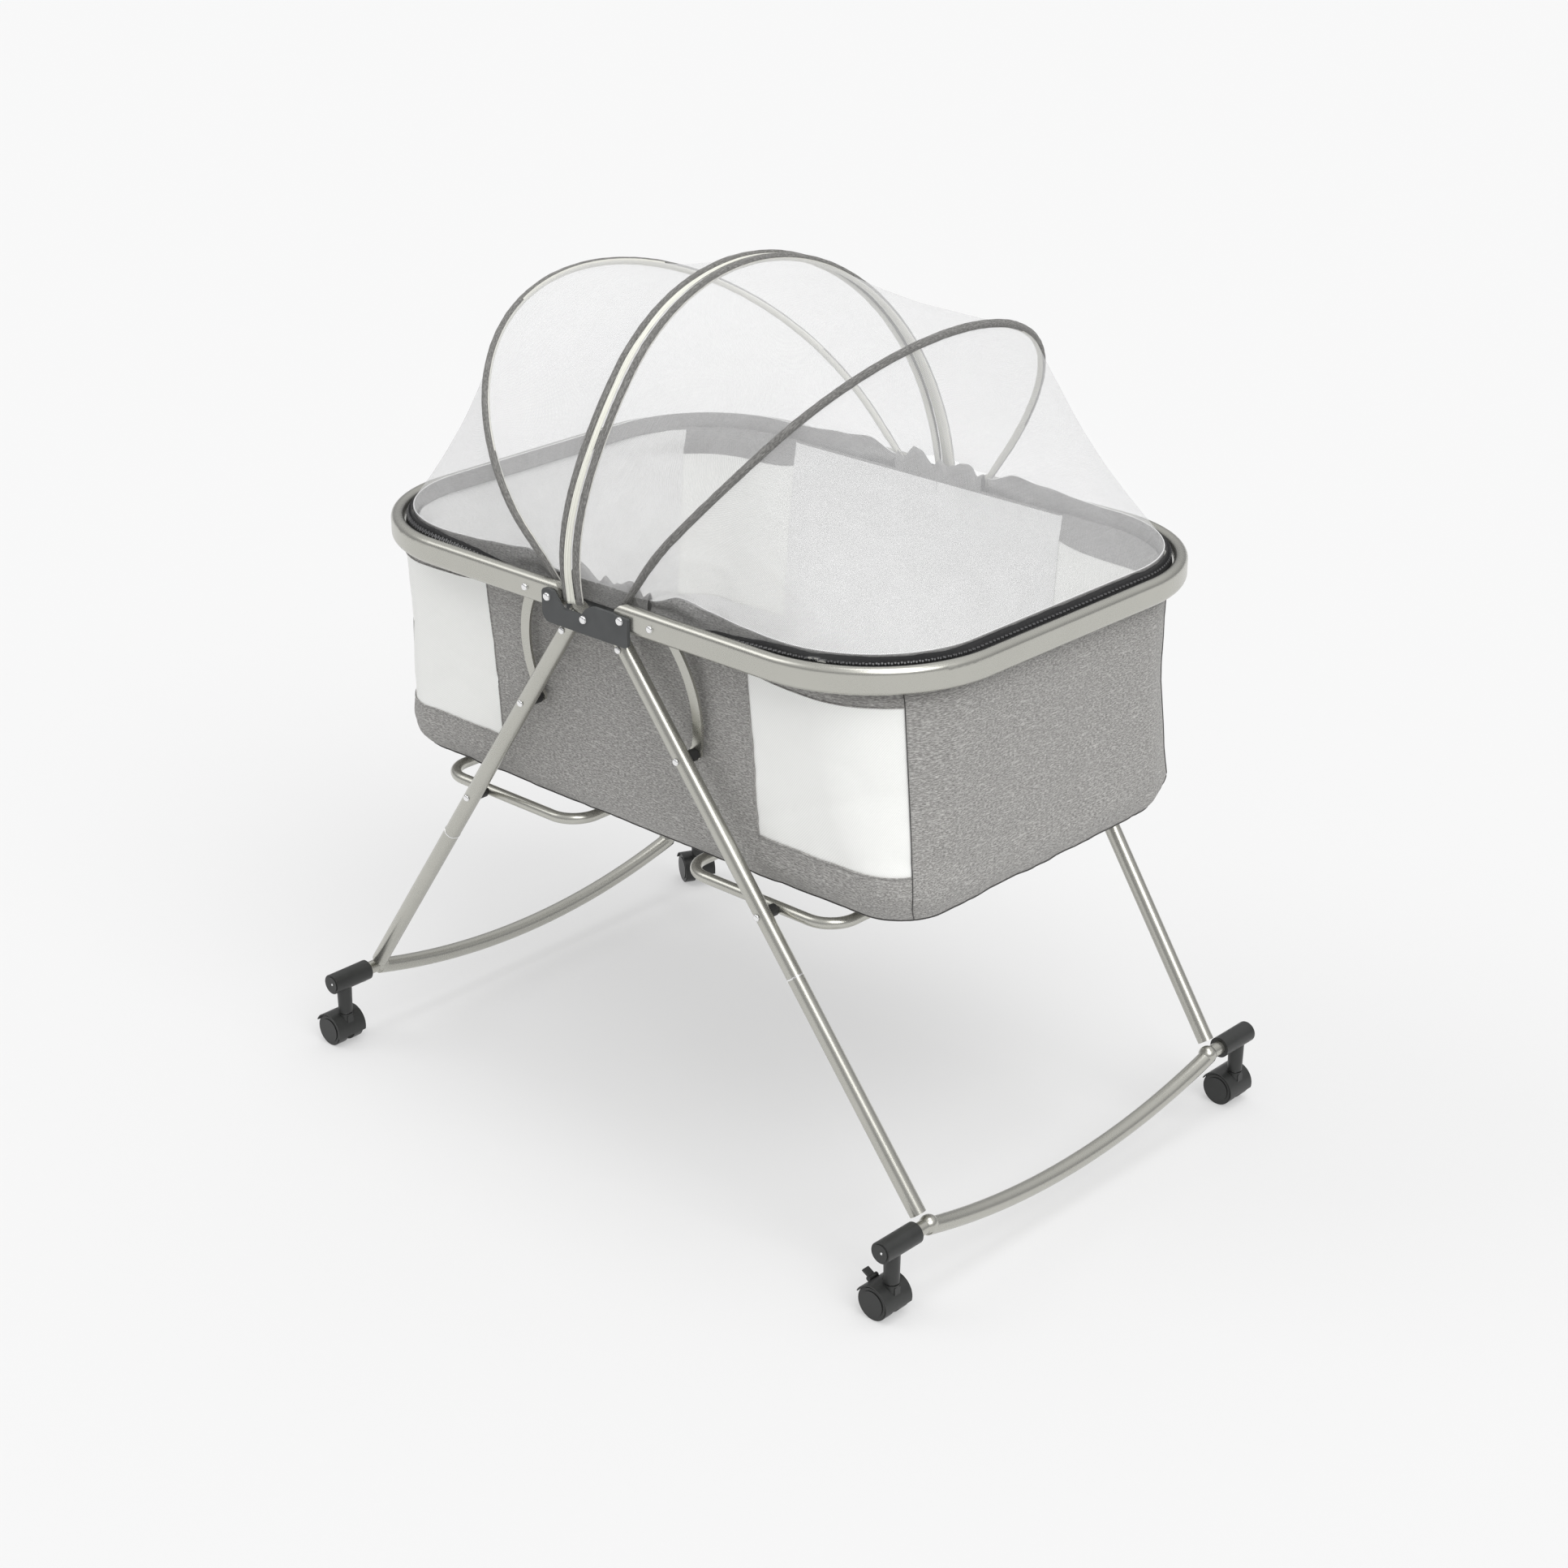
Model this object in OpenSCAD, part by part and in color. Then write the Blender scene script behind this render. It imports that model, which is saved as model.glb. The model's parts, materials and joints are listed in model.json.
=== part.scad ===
// Folding bassinet on a rocking X-stand with swivel casters and a two-part net canopy.
// Lengths are in millimetres. +X is the length, -Y the front long side, +Z up, floor at z = 0.

/* [Rim] */
// Half of the rim's outer length
rim_half_len = 420; // [412:1:424]
// Half of the rim's outer width
rim_half_wid = 305; // [304.8:0.1:305.2]
// Outer corner radius of the rim
rim_corner_r = 166; // [150:1:180]
// Height of the flat oval rim tube
rim_tube_h = 30; // [28:0.5:31]
// Height of the rim's centre above the floor
rim_z = 684; // [683.8:0.1:684.2]

/* [Stand] */
// Outer diameter of the leg tubes
leg_tube_d = 19; // [18:0.5:19]
// Distance of each foot pivot from the middle, along the length
foot_x = 444.6; // [440:0.2:448]
// Sag of the rocker tubes below the foot pivots
rocker_sag = 34; // [28:1:38]
// Diameter of the support loop tubes
loop_tube_d = 13; // [11:0.5:13]

/* [Casters] */
// Diameter of the caster wheels
wheel_d = 40; // [38:0.5:40]
// Distance the wheels trail behind the swivel stem
wheel_trail = 10.6; // [9:0.2:11]

/* [Canopy] */
// Diameter of the sleeved canopy hoops
hoop_d = 8; // [6:0.5:8]
// Lean of the left outer hoop from upright, degrees
left_hoop_lean = 44.9; // [43:0.1:46]
// Lean of the right outer hoop from upright, degrees
right_hoop_lean = 33.8; // [32:0.1:36]

/* [Bedding] */
// Thickness of the mattress
mattress_t = 34; // [24:1:40]

/* [Hidden] */

$fn = 48;
run_gap = 0.05;        // radial clearance of every running fit
set_gap = 0.02;        // radial clearance of a fixed rivet
soft_gap = 0.4;        // room between a soft solid and its neighbours
small_fn = 24;

metal = [0.76, 0.76, 0.72];
steel = [0.7, 0.7, 0.7];
charcoal = [0.2, 0.2, 0.21];
black = [0.07, 0.07, 0.07];
melange = [0.55, 0.54, 0.52];
net_white = [0.93, 0.93, 0.93];
cream = [0.93, 0.92, 0.87];

// rim tube
rim_t = rim_tube_h / 2;
rim_wall = 1.5;
rim_out_y = rim_half_wid;
rim_in_y = rim_half_wid - rim_t;
rim_side_len = rim_half_len - rim_corner_r;
rim_side_y = rim_half_wid - rim_corner_r;
zipper_x0 = 125;
zipper_z = 693;
zipper_h = 6;
zipper_w = 10;
zipper_inset = 21;
hem_x0 = 72;
hem_inset = 25.5;
hem_t = 1.2;
hem_z0 = 698;
hem_h = 18;
hem_middle_z0 = 695;

// hub bracket
plate_left = 64;
plate_right = 66;
plate_z0 = 655;
plate_z1 = 693;
plate_t = 4.2;
plate_y = rim_out_y + 0.4;
plate_low_left_r = 12;
plate_low_right_r = 5;
plate_ear_r = 6;
plate_tip_r = 2;
ear_x = -51;            // the ear's top ends here
saddle_x0 = -32;        // the saddle takes the middle hoops
saddle_x1 = -6;
saddle_z = 675.5;
hump_x0 = 16;
hump_x1 = 44;
hump_z = 689.3;
plate_right_z = 688.3;
inner_plate_half = 60;
inner_plate_z0 = 660;
inner_plate_z1 = 688;
inner_plate_t = 2.5;
inner_plate_y = rim_in_y - 15;
pivot_rim_x = 55.3;
pivot_leg_x = 25;
pivot_leg_z = 671;
rivet_mid_z = 671.6;
pin_r = 3;
pin_head_r = 4.6;
pin_head_h = 1.7;
blind_depth = 2;

// hoops
hoop_r = hoop_d / 2;
hoop_out_y = rim_in_y - 4.6;
hoop_in_y = rim_in_y - 2;
eye_r = 7;
eye_t = 3.4;
eye_out_y = rim_in_y - 4.8;
eye_in_y = rim_in_y - 10.4;
outer_left_leg = 79;
outer_right_leg = 58;
inner_leg = 23;
inner_lean = -10.2;
inner_foot_x = 10;

// legs: one straight line from the pivot to the foot, leaning inwards towards the floor
leg_r = leg_tube_d / 2;
leg_bore_r = leg_r - 1.3;
leg_top_y = 291.6;
leg_top_z = 646;
foot_y = 258.8;
foot_z = 87;
leg_slope_x = (foot_x - pivot_leg_x) / (pivot_leg_z - foot_z);
leg_slope_y = (leg_top_y - foot_y) / (leg_top_z - foot_z);
leg_end_z = 677;
sleeve_z = 328;
spigot_up_z = 360;
leg_foot_z = 99;
link_z = 538;
loop_z = 388;
leg_rivet_r = 2.5;
leg_lean_gap = 0.3;       // the legs lean, so a flat rivet head stands this far off
leg_head_seat = leg_r + set_gap + leg_lean_gap;
rivet_head_r = 4;
rivet_head_h = 1.6;

// link straps
link_x = 95;
strap_w = 13;
strap_t = 3.5;
strap_sag = 20;
strap_top_y = rim_in_y - 2.25;
strap_low_y = 263.75;
strap_hole_r = 5.4;
strap_fn = 64;

// support loops
loop_r = loop_tube_d / 2;
loop_y = 252;
loop_x0 = 86;
loop_x1 = 306;
loop_corner = 34;

// bedding
bed_x0 = 30;
bag_floor_z = 395.5;
bag_t = 2;
board_z0 = bag_floor_z + bag_t + soft_gap;
board_t = 5;
board_x1 = 356;
board_y = 194;
board_r = 78;
mattress_z0 = board_z0 + board_t + soft_gap;
mattress_x1 = 376;
mattress_y = 210;
mattress_r = 88;

// bag
bag_x = 399;
bag_y = 272;
bag_low_y = 249;
bag_corner = 144;
bag_low_corner = 96;
bag_gap_x = 1;
bag_z1 = 688;
// rows of height, half length, half width and corner radius, from the bottom up
bag_rows = [[bag_floor_z, 366, 203, 66], [399, 380, 217, 74], [407, 391, 231, 84], [420, 397, 242, 92],
            [440, bag_x, bag_low_y, bag_low_corner], [655, bag_x + 1, 268, bag_low_corner],
            [669, bag_x, 270, 132], [bag_z1, bag_x, bag_y, bag_corner]];
win_x0 = 195;
win_x1 = 382;
win_y0 = 190;
win_z0 = 462;
win_z1 = 652;
win_t = 0.8;

// casters
wheel_r = wheel_d / 2;
wheel_w = 15;
wheel_gap = 0.7;
hood_r = 22;
hood_half = 21;
hood_wall = 1.2;
web_half = 4.5;
web_r = 15;
axle_r = 3;
stem_r = 4.5;
post_y = 311;
post_r = 9.5;
post_low_r = 8.6;
post_z0 = 44;
barrel_r = 12.5;
barrel_y0 = 275;
barrel_y1 = 330;
spigot_r = 8;
spigot_y1 = 296;
stem_top_z = 72;
back_left_turn = -28;
boss_z0 = 33;
boss_z1 = 42;
brake_dx = -16;
brake_dz = 18;
brake_ear_r = 2.8;
brake_ear_t = 2;
brake_half = 4.6;
brake_pin_r = 1.1;
brake_pad_l = 12;
brake_pad_t = 2.6;
brake_tilt = 28;

// the whole model is shifted so that the origin is under the middle of its bounding box
// (the hood's reach past its stem is a little less than hood_r, because its lower edge is cut back)
hood_cut = 0.955;
hood_reach_x = wheel_trail * cos(back_left_turn) + hood_half * sin(-back_left_turn)
  + hood_r * hood_cut * cos(back_left_turn);
hood_reach_y = wheel_trail * sin(-back_left_turn) + hood_half * cos(back_left_turn)
  + hood_r * hood_cut * sin(-back_left_turn);
frame_dx = (hood_reach_x - barrel_r) / 2;
frame_dy = -(hood_reach_y - hood_half) / 2;

function leg_x(z) = pivot_leg_x + (pivot_leg_z - z) * leg_slope_x;
function leg_y(z) = leg_top_y - (leg_top_z - z) * leg_slope_y;
function leg_pt(z) = [leg_x(z), leg_y(z), z];

module side(s) {
  translate([frame_dx, frame_dy, 0])
    mirror([s < 0 ? 1 : 0, 0, 0])
      children();
}

module front_and_back() {
  for (m = [0, 1])
    mirror([0, m, 0])
      children();
}

// a cylinder from p to q
module rod(p, q, r) {
  d = q - p;
  l = norm(d);
  translate(p)
    rotate([0, acos(d[2] / l), atan2(d[1], d[0])])
      cylinder(h = l, r = r);
}

// a cylinder along +Y from y0 to y1
module y_rod(x, z, y0, y1, r) {
  translate([x, y1, z])
    rotate([90, 0, 0])
      cylinder(h = y1 - y0, r = r);
}

// a rivet along +Y with a domed head at its y1 end
module y_rivet(x, z, y0, y1, r, head_r, head_h) {
  y_rod(x, z, y0, y1, r);
  translate([x, y1, z])
    rotate([-90, 0, 0])
      cylinder(h = head_h * 0.5, r = head_r);
  translate([x, y1 + head_h * 0.5, z])
    rotate([-90, 0, 0])
      cylinder(h = head_h * 0.5, r1 = head_r, r2 = head_r * 0.6);
}

// a section swept round the right-hand half of the rim's outline, set in by `inset`
module u_half(inset, x0) {
  front_and_back() {
    translate([x0, rim_half_wid - inset, 0])
      rotate([90, 0, 90])
        linear_extrude(height = rim_side_len - x0)
          children();
    translate([rim_side_len, rim_side_y, 0])
      rotate_extrude(angle = 90, $fn = 96)
        translate([rim_corner_r - inset, 0])
          children();
  }
  translate([rim_half_len - inset, 0, 0])
    rotate([90, 0, 0])
      linear_extrude(height = 2 * rim_side_y, center = true)
        children();
}

module stadium(h, t) {
  translate([-t / 2, -(h - t) / 2])
    square([t, h - t]);
  for (s = [-1, 1])
    translate([0, s * (h - t) / 2])
      circle(d = t);
}

// ---- hub ----

module plate_outline() {
  polygon([
    [-plate_left, plate_z0 + plate_low_left_r],
    [-plate_left, plate_z1 - plate_ear_r],
    [-plate_left + plate_ear_r, plate_z1],
    [ear_x, plate_z1],
    [ear_x + 4, plate_z1 - 1.5],
    [saddle_x0 - 3, saddle_z + 2.5],
    [saddle_x0, saddle_z],
    [saddle_x1, saddle_z],
    [saddle_x1 + 3, saddle_z + 1],
    [hump_x0 - 12, hump_z - 4.6],
    [hump_x0 - 6, hump_z - 1.4],
    [hump_x0, hump_z],
    [hump_x1, hump_z],
    [hump_x1 + 4, plate_right_z],
    [plate_right - plate_tip_r, plate_right_z],
    [plate_right, plate_right_z - plate_tip_r],
    [plate_right, plate_z0 + plate_low_right_r],
    [plate_right - plate_low_right_r, plate_z0],
    [-plate_left + plate_low_left_r, plate_z0]]);
  translate([-plate_left + plate_low_left_r, plate_z0 + plate_low_left_r])
    circle(r = plate_low_left_r);
  translate([-plate_left + plate_ear_r, plate_z1 - plate_ear_r])
    circle(r = plate_ear_r);
  translate([plate_right - plate_low_right_r, plate_z0 + plate_low_right_r])
    circle(r = plate_low_right_r);
  translate([plate_right - plate_tip_r, plate_right_z - plate_tip_r])
    circle(r = plate_tip_r);
}

module plate_set(m) {
  difference() {
    union() {
      translate([0, plate_y + plate_t, 0])
        rotate([90, 0, 0])
          linear_extrude(height = plate_t)
            mirror([m, 0])
              plate_outline();
      translate([-inner_plate_half, inner_plate_y, inner_plate_z0])
        cube([2 * inner_plate_half, inner_plate_t, inner_plate_z1 - inner_plate_z0]);
    }
    for (s = [-1, 1]) {
      y_rod(s * pivot_rim_x, rim_z, 0, plate_y + plate_t + 1, pin_r + set_gap);
      y_rod(s * pivot_leg_x, pivot_leg_z, 0, plate_y + blind_depth, pin_r + set_gap);
    }
    y_rod(0, rivet_mid_z, 0, plate_y + plate_t + 1, pin_r + set_gap);
  }
}

module bracket_front() {
  color(charcoal) side(1) mirror([0, 1, 0]) plate_set(0);
}

module bracket_back() {
  color(charcoal) side(1) plate_set(1);
}

module hub_pins() {
  color(steel) side(1)
    front_and_back() {
      for (x = [-pivot_rim_x, pivot_rim_x]) {
        y_rivet(x, rim_z, inner_plate_y - 1, plate_y + plate_t + set_gap, pin_r, pin_head_r, pin_head_h);
        y_rod(x, rim_z, inner_plate_y - 1 - pin_head_h, inner_plate_y - set_gap - 0.1, pin_head_r);
      }
      y_rivet(0, rivet_mid_z, inner_plate_y - 1, plate_y + plate_t + set_gap, pin_r, pin_head_r, pin_head_h);
      for (x = [-pivot_leg_x, pivot_leg_x])
        y_rod(x, pivot_leg_z, inner_plate_y + 0.1, plate_y + blind_depth - 0.1, pin_r);
    }
}

module hem_middle() {
  color(melange) side(1)
    front_and_back()
      translate([-inner_plate_half - 4, inner_plate_y - 3 - pin_head_h, hem_middle_z0])
        cube([2 * inner_plate_half + 8, hem_t, hem_h]);
}

// ---- rim halves ----

module rim_shape() {
  difference() {
    intersection() {
      translate([0, 0, rim_z])
        difference() {
          u_half(rim_t / 2, pivot_rim_x - rim_tube_h)
            stadium(rim_tube_h, rim_t);
          u_half(rim_t / 2, pivot_rim_x + 12)
            stadium(rim_tube_h - 2 * rim_wall, rim_t - 2 * rim_wall);
        }
      union() {
        translate([pivot_rim_x, -rim_half_wid - 1, 0])
          cube([rim_half_len, 2 * rim_half_wid + 2, 2 * rim_z]);
        y_rod(pivot_rim_x, rim_z, -rim_half_wid - 1, rim_half_wid + 1, rim_tube_h / 2);
      }
    }
    front_and_back() {
      y_rod(pivot_rim_x, rim_z, rim_in_y - 1, rim_out_y + 1, pin_r + run_gap);
      y_rod(link_x, rim_z, rim_in_y - 1, rim_out_y + 1, leg_rivet_r + set_gap);
    }
  }
}

module rim_tube_left() {
  color(metal) side(-1) rim_shape();
}

module rim_tube_right() {
  color(metal) side(1) rim_shape();
}

module rim_rivets() {
  front_and_back() {
    y_rivet(link_x, rim_z, rim_in_y - 5.6, rim_out_y + set_gap, leg_rivet_r, rivet_head_r, rivet_head_h);
    y_rod(link_x, rim_z, rim_in_y - 6.4, rim_in_y - 5.6, strap_hole_r + 1.2);
  }
}

module rim_rivets_left() {
  color(steel) side(-1) rim_rivets();
}

module rim_rivets_right() {
  color(steel) side(1) rim_rivets();
}

module zipper_shape() {
  translate([0, 0, zipper_z])
    u_half(zipper_inset, zipper_x0) {
      translate([-zipper_w / 2, -zipper_h / 2])
        square([zipper_w, zipper_h]);
    }
}

module zipper_left() {
  color(black) side(-1) zipper_shape();
}

module zipper_right() {
  color(black) side(1) zipper_shape();
}

module zip_slider() {
  a = -68;
  color(steel) side(1)
    translate([rim_side_len, -rim_side_y, zipper_z + zipper_h / 2 + 0.1])
      rotate([0, 0, a])
        translate([rim_corner_r - zipper_inset, 0, 0]) {
          translate([-3, -4.5, 0])
            cube([6, 9, 2.2]);
          translate([-1.6, -15, 2.2 - 0.4])
            cube([3.2, 12, 1.4]);
        }
}

module hem_shape() {
  u_half(hem_inset, hem_x0)
    translate([-hem_t / 2, hem_z0])
      square([hem_t, hem_h]);
}

module hem_left() {
  color(melange) side(-1) hem_shape();
}

module hem_right() {
  color(melange) side(1) hem_shape();
}

// ---- bag ----

module bag_slab(z, hl, hw, r) {
  translate([0, 0, z - 0.5])
    for (x = [-1, 1], y = [-1, 1])
      translate([x * (hl - r), y * (hw - r), 0])
        cylinder(h = 1, r = r, $fn = 32);
}

module bag_solid(t) {
  hull()
    for (row = bag_rows)
      bag_slab(row[0] + (row[0] < bag_z1 ? t + 0.5 : 2), row[1] - t, row[2] - t, row[3] - t / 2);
}

module window_zone(g) {
  front_and_back()
    translate([win_x0 + g, win_y0, win_z0 + g])
      cube([win_x1 - win_x0 - 2 * g, bag_y, win_z1 - win_z0 - 2 * g]);
}

module bag_shape() {
  intersection() {
    difference() {
      bag_solid(0);
      bag_solid(bag_t);
      window_zone(0);
      translate([-rim_half_len, -rim_half_wid, bag_z1])
        cube([2 * rim_half_len, 2 * rim_half_wid, 10]);
    }
    translate([bag_gap_x, -rim_half_wid, 0])
      cube([rim_half_len, 2 * rim_half_wid, rim_z * 2]);
  }
}

module bag_left() {
  color(melange) side(-1) bag_shape();
}

module bag_right() {
  color(melange) side(1) bag_shape();
}

module windows_shape() {
  intersection() {
    difference() {
      bag_solid(bag_t / 2 - win_t / 2);
      bag_solid(bag_t / 2 + win_t / 2);
    }
    window_zone(soft_gap);
  }
}

module windows_left() {
  color(net_white) side(-1) windows_shape();
}

module windows_right() {
  color(net_white) side(1) windows_shape();
}

// ---- canopy hoops ----

// a U: two straight legs `leg` long, `half` apart from the middle, joined by a half ring
module hoop_arch(half, leg) {
  for (s = [-1, 1])
    translate([0, s * half, 0])
      cylinder(h = leg, r = hoop_r);
  translate([0, 0, leg])
    rotate([0, -90, 0])
      rotate([0, 0, -90])
        rotate_extrude(angle = 180, $fn = 96)
          translate([half, 0])
            circle(r = hoop_r, $fn = small_fn);
}

module hoop_outer(lean, leg) {
  difference() {
    translate([pivot_rim_x, 0, rim_z]) {
      rotate([0, lean, 0]) {
        translate([0, 0, eye_r])
          hoop_arch(hoop_out_y, leg - eye_r);
        front_and_back()
          translate([-hoop_r, eye_out_y - eye_t + 3, 0])
            cube([2 * hoop_r, eye_t - 0.4, eye_r + 8]);
      }
      front_and_back()
        y_rod(0, 0, eye_out_y - 0.4, eye_out_y - 0.4 + eye_t, eye_r);
    }
    front_and_back()
      y_rod(pivot_rim_x, rim_z, eye_out_y - 10, rim_in_y + 5, pin_r + run_gap);
  }
}

// the inner hoops stand near the middle; a flat foot leads back to the rim's pivot
module hoop_inner(lean) {
  difference() {
    union() {
      translate([inner_foot_x, 0, rim_z + 3])
        rotate([0, lean, 0])
          hoop_arch(hoop_in_y, inner_leg);
      front_and_back() {
        y_rod(pivot_rim_x, rim_z, eye_in_y, eye_in_y + eye_t, eye_r);
        translate([inner_foot_x - hoop_r, eye_in_y, rim_z + 1])
          cube([pivot_rim_x - inner_foot_x + hoop_r, eye_t, eye_r - 1.5]);
        translate([inner_foot_x - hoop_r, eye_in_y, rim_z + 1])
          cube([2 * hoop_r, hoop_in_y - eye_in_y, eye_r - 1.5]);
      }
    }
    front_and_back()
      y_rod(pivot_rim_x, rim_z, eye_in_y - 1, rim_in_y + 5, pin_r + run_gap);
  }
}

module hoop_outer_left() {
  color(melange) side(-1) hoop_outer(left_hoop_lean, outer_left_leg);
}

module hoop_outer_right() {
  color(melange) side(1) hoop_outer(right_hoop_lean, outer_right_leg);
}

module hoop_inner_left() {
  color(melange) side(-1) hoop_inner(-inner_lean);
}

module hoop_inner_right() {
  color(melange) side(1) hoop_inner(inner_lean);
}

// ---- canopy net ----

net_steps = 40;
net_t = 0.8;
net_first = 3;
net_core_x = 120;
net_core_z = 690;
net_room = hoop_r + 1;
strip_half = 5;
strip_t = 1.2;

// point i of the hoop's path: legs, then the half ring; `push` moves it along the hoop's normal
function hoop_flat(i, half, leg) =
  let (a = 180 * i / net_steps)
  [0, -half * cos(a), leg + half * sin(a)];
function hoop_pt(i, foot, lean, half, leg, push) =
  let (p = hoop_flat(i, half, leg))
  [foot[0] + p[2] * sin(lean) + push * cos(lean), p[1], foot[1] + p[2] * cos(lean) - push * sin(lean)];

// point i of the hem line inside the right-hand half of the rim
function hem_pt(i) =
  let (a = 180 * i / net_steps, w = rim_half_wid - hem_inset, l = rim_half_len - hem_inset,
       c = -cos(a), q = sin(a), e = 0.42)
  [hem_x0 + (l - hem_x0) * pow(max(q, 0), e), w * sign(c) * pow(abs(c), e), hem_z0 + hem_h + 1];

// a thin sheet between two rows of points, thickened towards the point `c` inside the canopy
function towards(p, c) = p + net_t * (c - p) / norm(c - p);
module net_sheet(a, b, c) {
  n = len(a);
  pts = concat(a, b, [for (p = a) towards(p, c)], [for (p = b) towards(p, c)]);
  faces = concat(
    [for (i = [0:n - 2]) [i, i + 1, n + i + 1]],
    [for (i = [0:n - 2]) [i, n + i + 1, n + i]],
    [for (i = [0:n - 2]) [2 * n + i, 3 * n + i + 1, 2 * n + i + 1]],
    [for (i = [0:n - 2]) [2 * n + i, 3 * n + i, 3 * n + i + 1]],
    [for (i = [0:n - 2]) [i, 2 * n + i + 1, i + 1]],
    [for (i = [0:n - 2]) [i, 2 * n + i, 2 * n + i + 1]],
    [for (i = [0:n - 2]) [n + i, n + i + 1, 3 * n + i + 1]],
    [for (i = [0:n - 2]) [n + i, 3 * n + i + 1, 3 * n + i]],
    [[0, n, 3 * n], [0, 3 * n, 2 * n], [n - 1, 3 * n - 1, 4 * n - 1], [n - 1, 4 * n - 1, 2 * n - 1]]);
  polyhedron(points = pts, faces = faces, convexity = 6);
}

function outer_row(lean, leg, push) =
  [for (i = [net_first:net_steps - net_first]) hoop_pt(i, [pivot_rim_x, rim_z], lean, hoop_out_y, leg, push)];
function inner_row(lean, push) =
  [for (i = [net_first:net_steps - net_first])
    hoop_pt(i, [inner_foot_x, rim_z + 3], lean, hoop_in_y, inner_leg, push)];
function hem_row() = [for (i = [net_first:net_steps - net_first]) hem_pt(i)];

module net_end(lean, leg) {
  net_sheet(outer_row(lean, leg, net_room), hem_row(), [net_core_x, 0, net_core_z]);
}

module net_side(lean, leg, inner) {
  net_sheet(inner_row(inner, net_room), outer_row(lean, leg, -net_room), [0, 0, net_core_z]);
}

module net_end_left() {
  color(net_white) side(-1) net_end(left_hoop_lean, outer_left_leg);
}

module net_end_right() {
  color(net_white) side(1) net_end(right_hoop_lean, outer_right_leg);
}

module net_side_left() {
  color(net_white) side(-1) net_side(left_hoop_lean, outer_left_leg, -inner_lean);
}

module net_side_right() {
  color(net_white) side(1) net_side(right_hoop_lean, outer_right_leg, inner_lean);
}

module net_strip() {
  color(cream) side(1)
    translate([0, 0, rim_z + 5])
      rotate([0, inner_lean, 0]) {
        front_and_back()
          translate([-strip_half, hoop_in_y - strip_t, eye_r])
            cube([2 * strip_half, strip_t, inner_leg - eye_r]);
        translate([0, 0, inner_leg])
          rotate([0, -90, 0])
            rotate([0, 0, -90])
              rotate_extrude(angle = 180, $fn = 96)
                translate([hoop_in_y - strip_t, -strip_half])
                  square([strip_t, 2 * strip_half]);
      }
}

// ---- stand ----

module each_leg() {
  front_and_back()
    children();
}

module upper_legs() {
  each_leg()
    difference() {
      rod(leg_pt(sleeve_z + 0.3), leg_pt(leg_end_z), leg_r);
      rod(leg_pt(sleeve_z - 1), leg_pt(link_z - 30), leg_bore_r);
      rod(leg_pt(link_z + 30), leg_pt(leg_top_z - 14), leg_bore_r);
      y_rod(pivot_leg_x, pivot_leg_z, leg_top_y - 40, leg_top_y + 40, pin_r + run_gap);
      y_rod(leg_x(leg_top_z), leg_top_z, leg_top_y - 5, leg_top_y + 40, leg_rivet_r + set_gap);
      y_rod(leg_x(link_z), link_z, leg_top_y - 40, leg_top_y + 40, leg_rivet_r + set_gap);
      y_rod(leg_x(loop_z), loop_z, leg_top_y - 60, leg_top_y + 40, leg_rivet_r + set_gap);
    }
}

module upper_legs_left() {
  color(metal) side(-1) upper_legs();
}

module upper_legs_right() {
  color(metal) side(1) upper_legs();
}

module lower_legs() {
  each_leg() {
    rod(leg_pt(leg_foot_z), leg_pt(sleeve_z - 0.3), leg_r);
    rod(leg_pt(sleeve_z - 5), leg_pt(spigot_up_z), leg_bore_r - run_gap);
  }
}

module lower_legs_left() {
  color(metal) side(-1) lower_legs();
}

module lower_legs_right() {
  color(metal) side(1) lower_legs();
}

// the rocker is an arc of tube through both feet; a stub at each end carries a caster socket
rocker_reach = foot_y - 4;
rocker_arc_r = (rocker_reach * rocker_reach + rocker_sag * rocker_sag) / (2 * rocker_sag);
rocker_half_a = asin(rocker_reach / rocker_arc_r);
rocker_top_z = foot_z - 2;

module rocker_shape() {
  translate([foot_x, 0, rocker_top_z - rocker_sag + rocker_arc_r])
    rotate([0, 90, 0])
      rotate([0, 0, -rocker_half_a])
        rotate_extrude(angle = 2 * rocker_half_a, $fn = 360)
          translate([rocker_arc_r, 0])
            circle(r = leg_r, $fn = 32);
  front_and_back() {
    translate([foot_x, rocker_reach - 3, foot_z])
      sphere(r = leg_r + 1.2);
    y_rod(foot_x, foot_z, rocker_reach - 3, spigot_y1, spigot_r);
  }
}

module rocker_left() {
  color(metal) side(-1)
    difference() {
      rocker_shape();
      leg_room();
    }
}

module rocker_right() {
  color(metal) side(1)
    difference() {
      rocker_shape();
      leg_room();
    }
}

module leg_room() {
  each_leg()
    rod(leg_pt(leg_foot_z - set_gap), leg_pt(sleeve_z), leg_r + set_gap);
}

module leg_rivets() {
  each_leg() {
    y_rivet(leg_x(leg_top_z), leg_top_z, leg_y(leg_top_z) - 4, leg_y(leg_top_z) + leg_head_seat,
      leg_rivet_r, rivet_head_r, rivet_head_h);
    y_rivet(leg_x(link_z), link_z, strap_low_y - strap_t - 1, leg_y(link_z) + leg_head_seat,
      leg_rivet_r, rivet_head_r, rivet_head_h);
    y_rivet(leg_x(loop_z), loop_z, loop_y - loop_r - 1.2, leg_y(loop_z) + leg_head_seat,
      leg_rivet_r, rivet_head_r, rivet_head_h);
  }
}

module leg_rivets_left() {
  color(steel) side(-1) leg_rivets();
}

module leg_rivets_right() {
  color(steel) side(1) leg_rivets();
}

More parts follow.
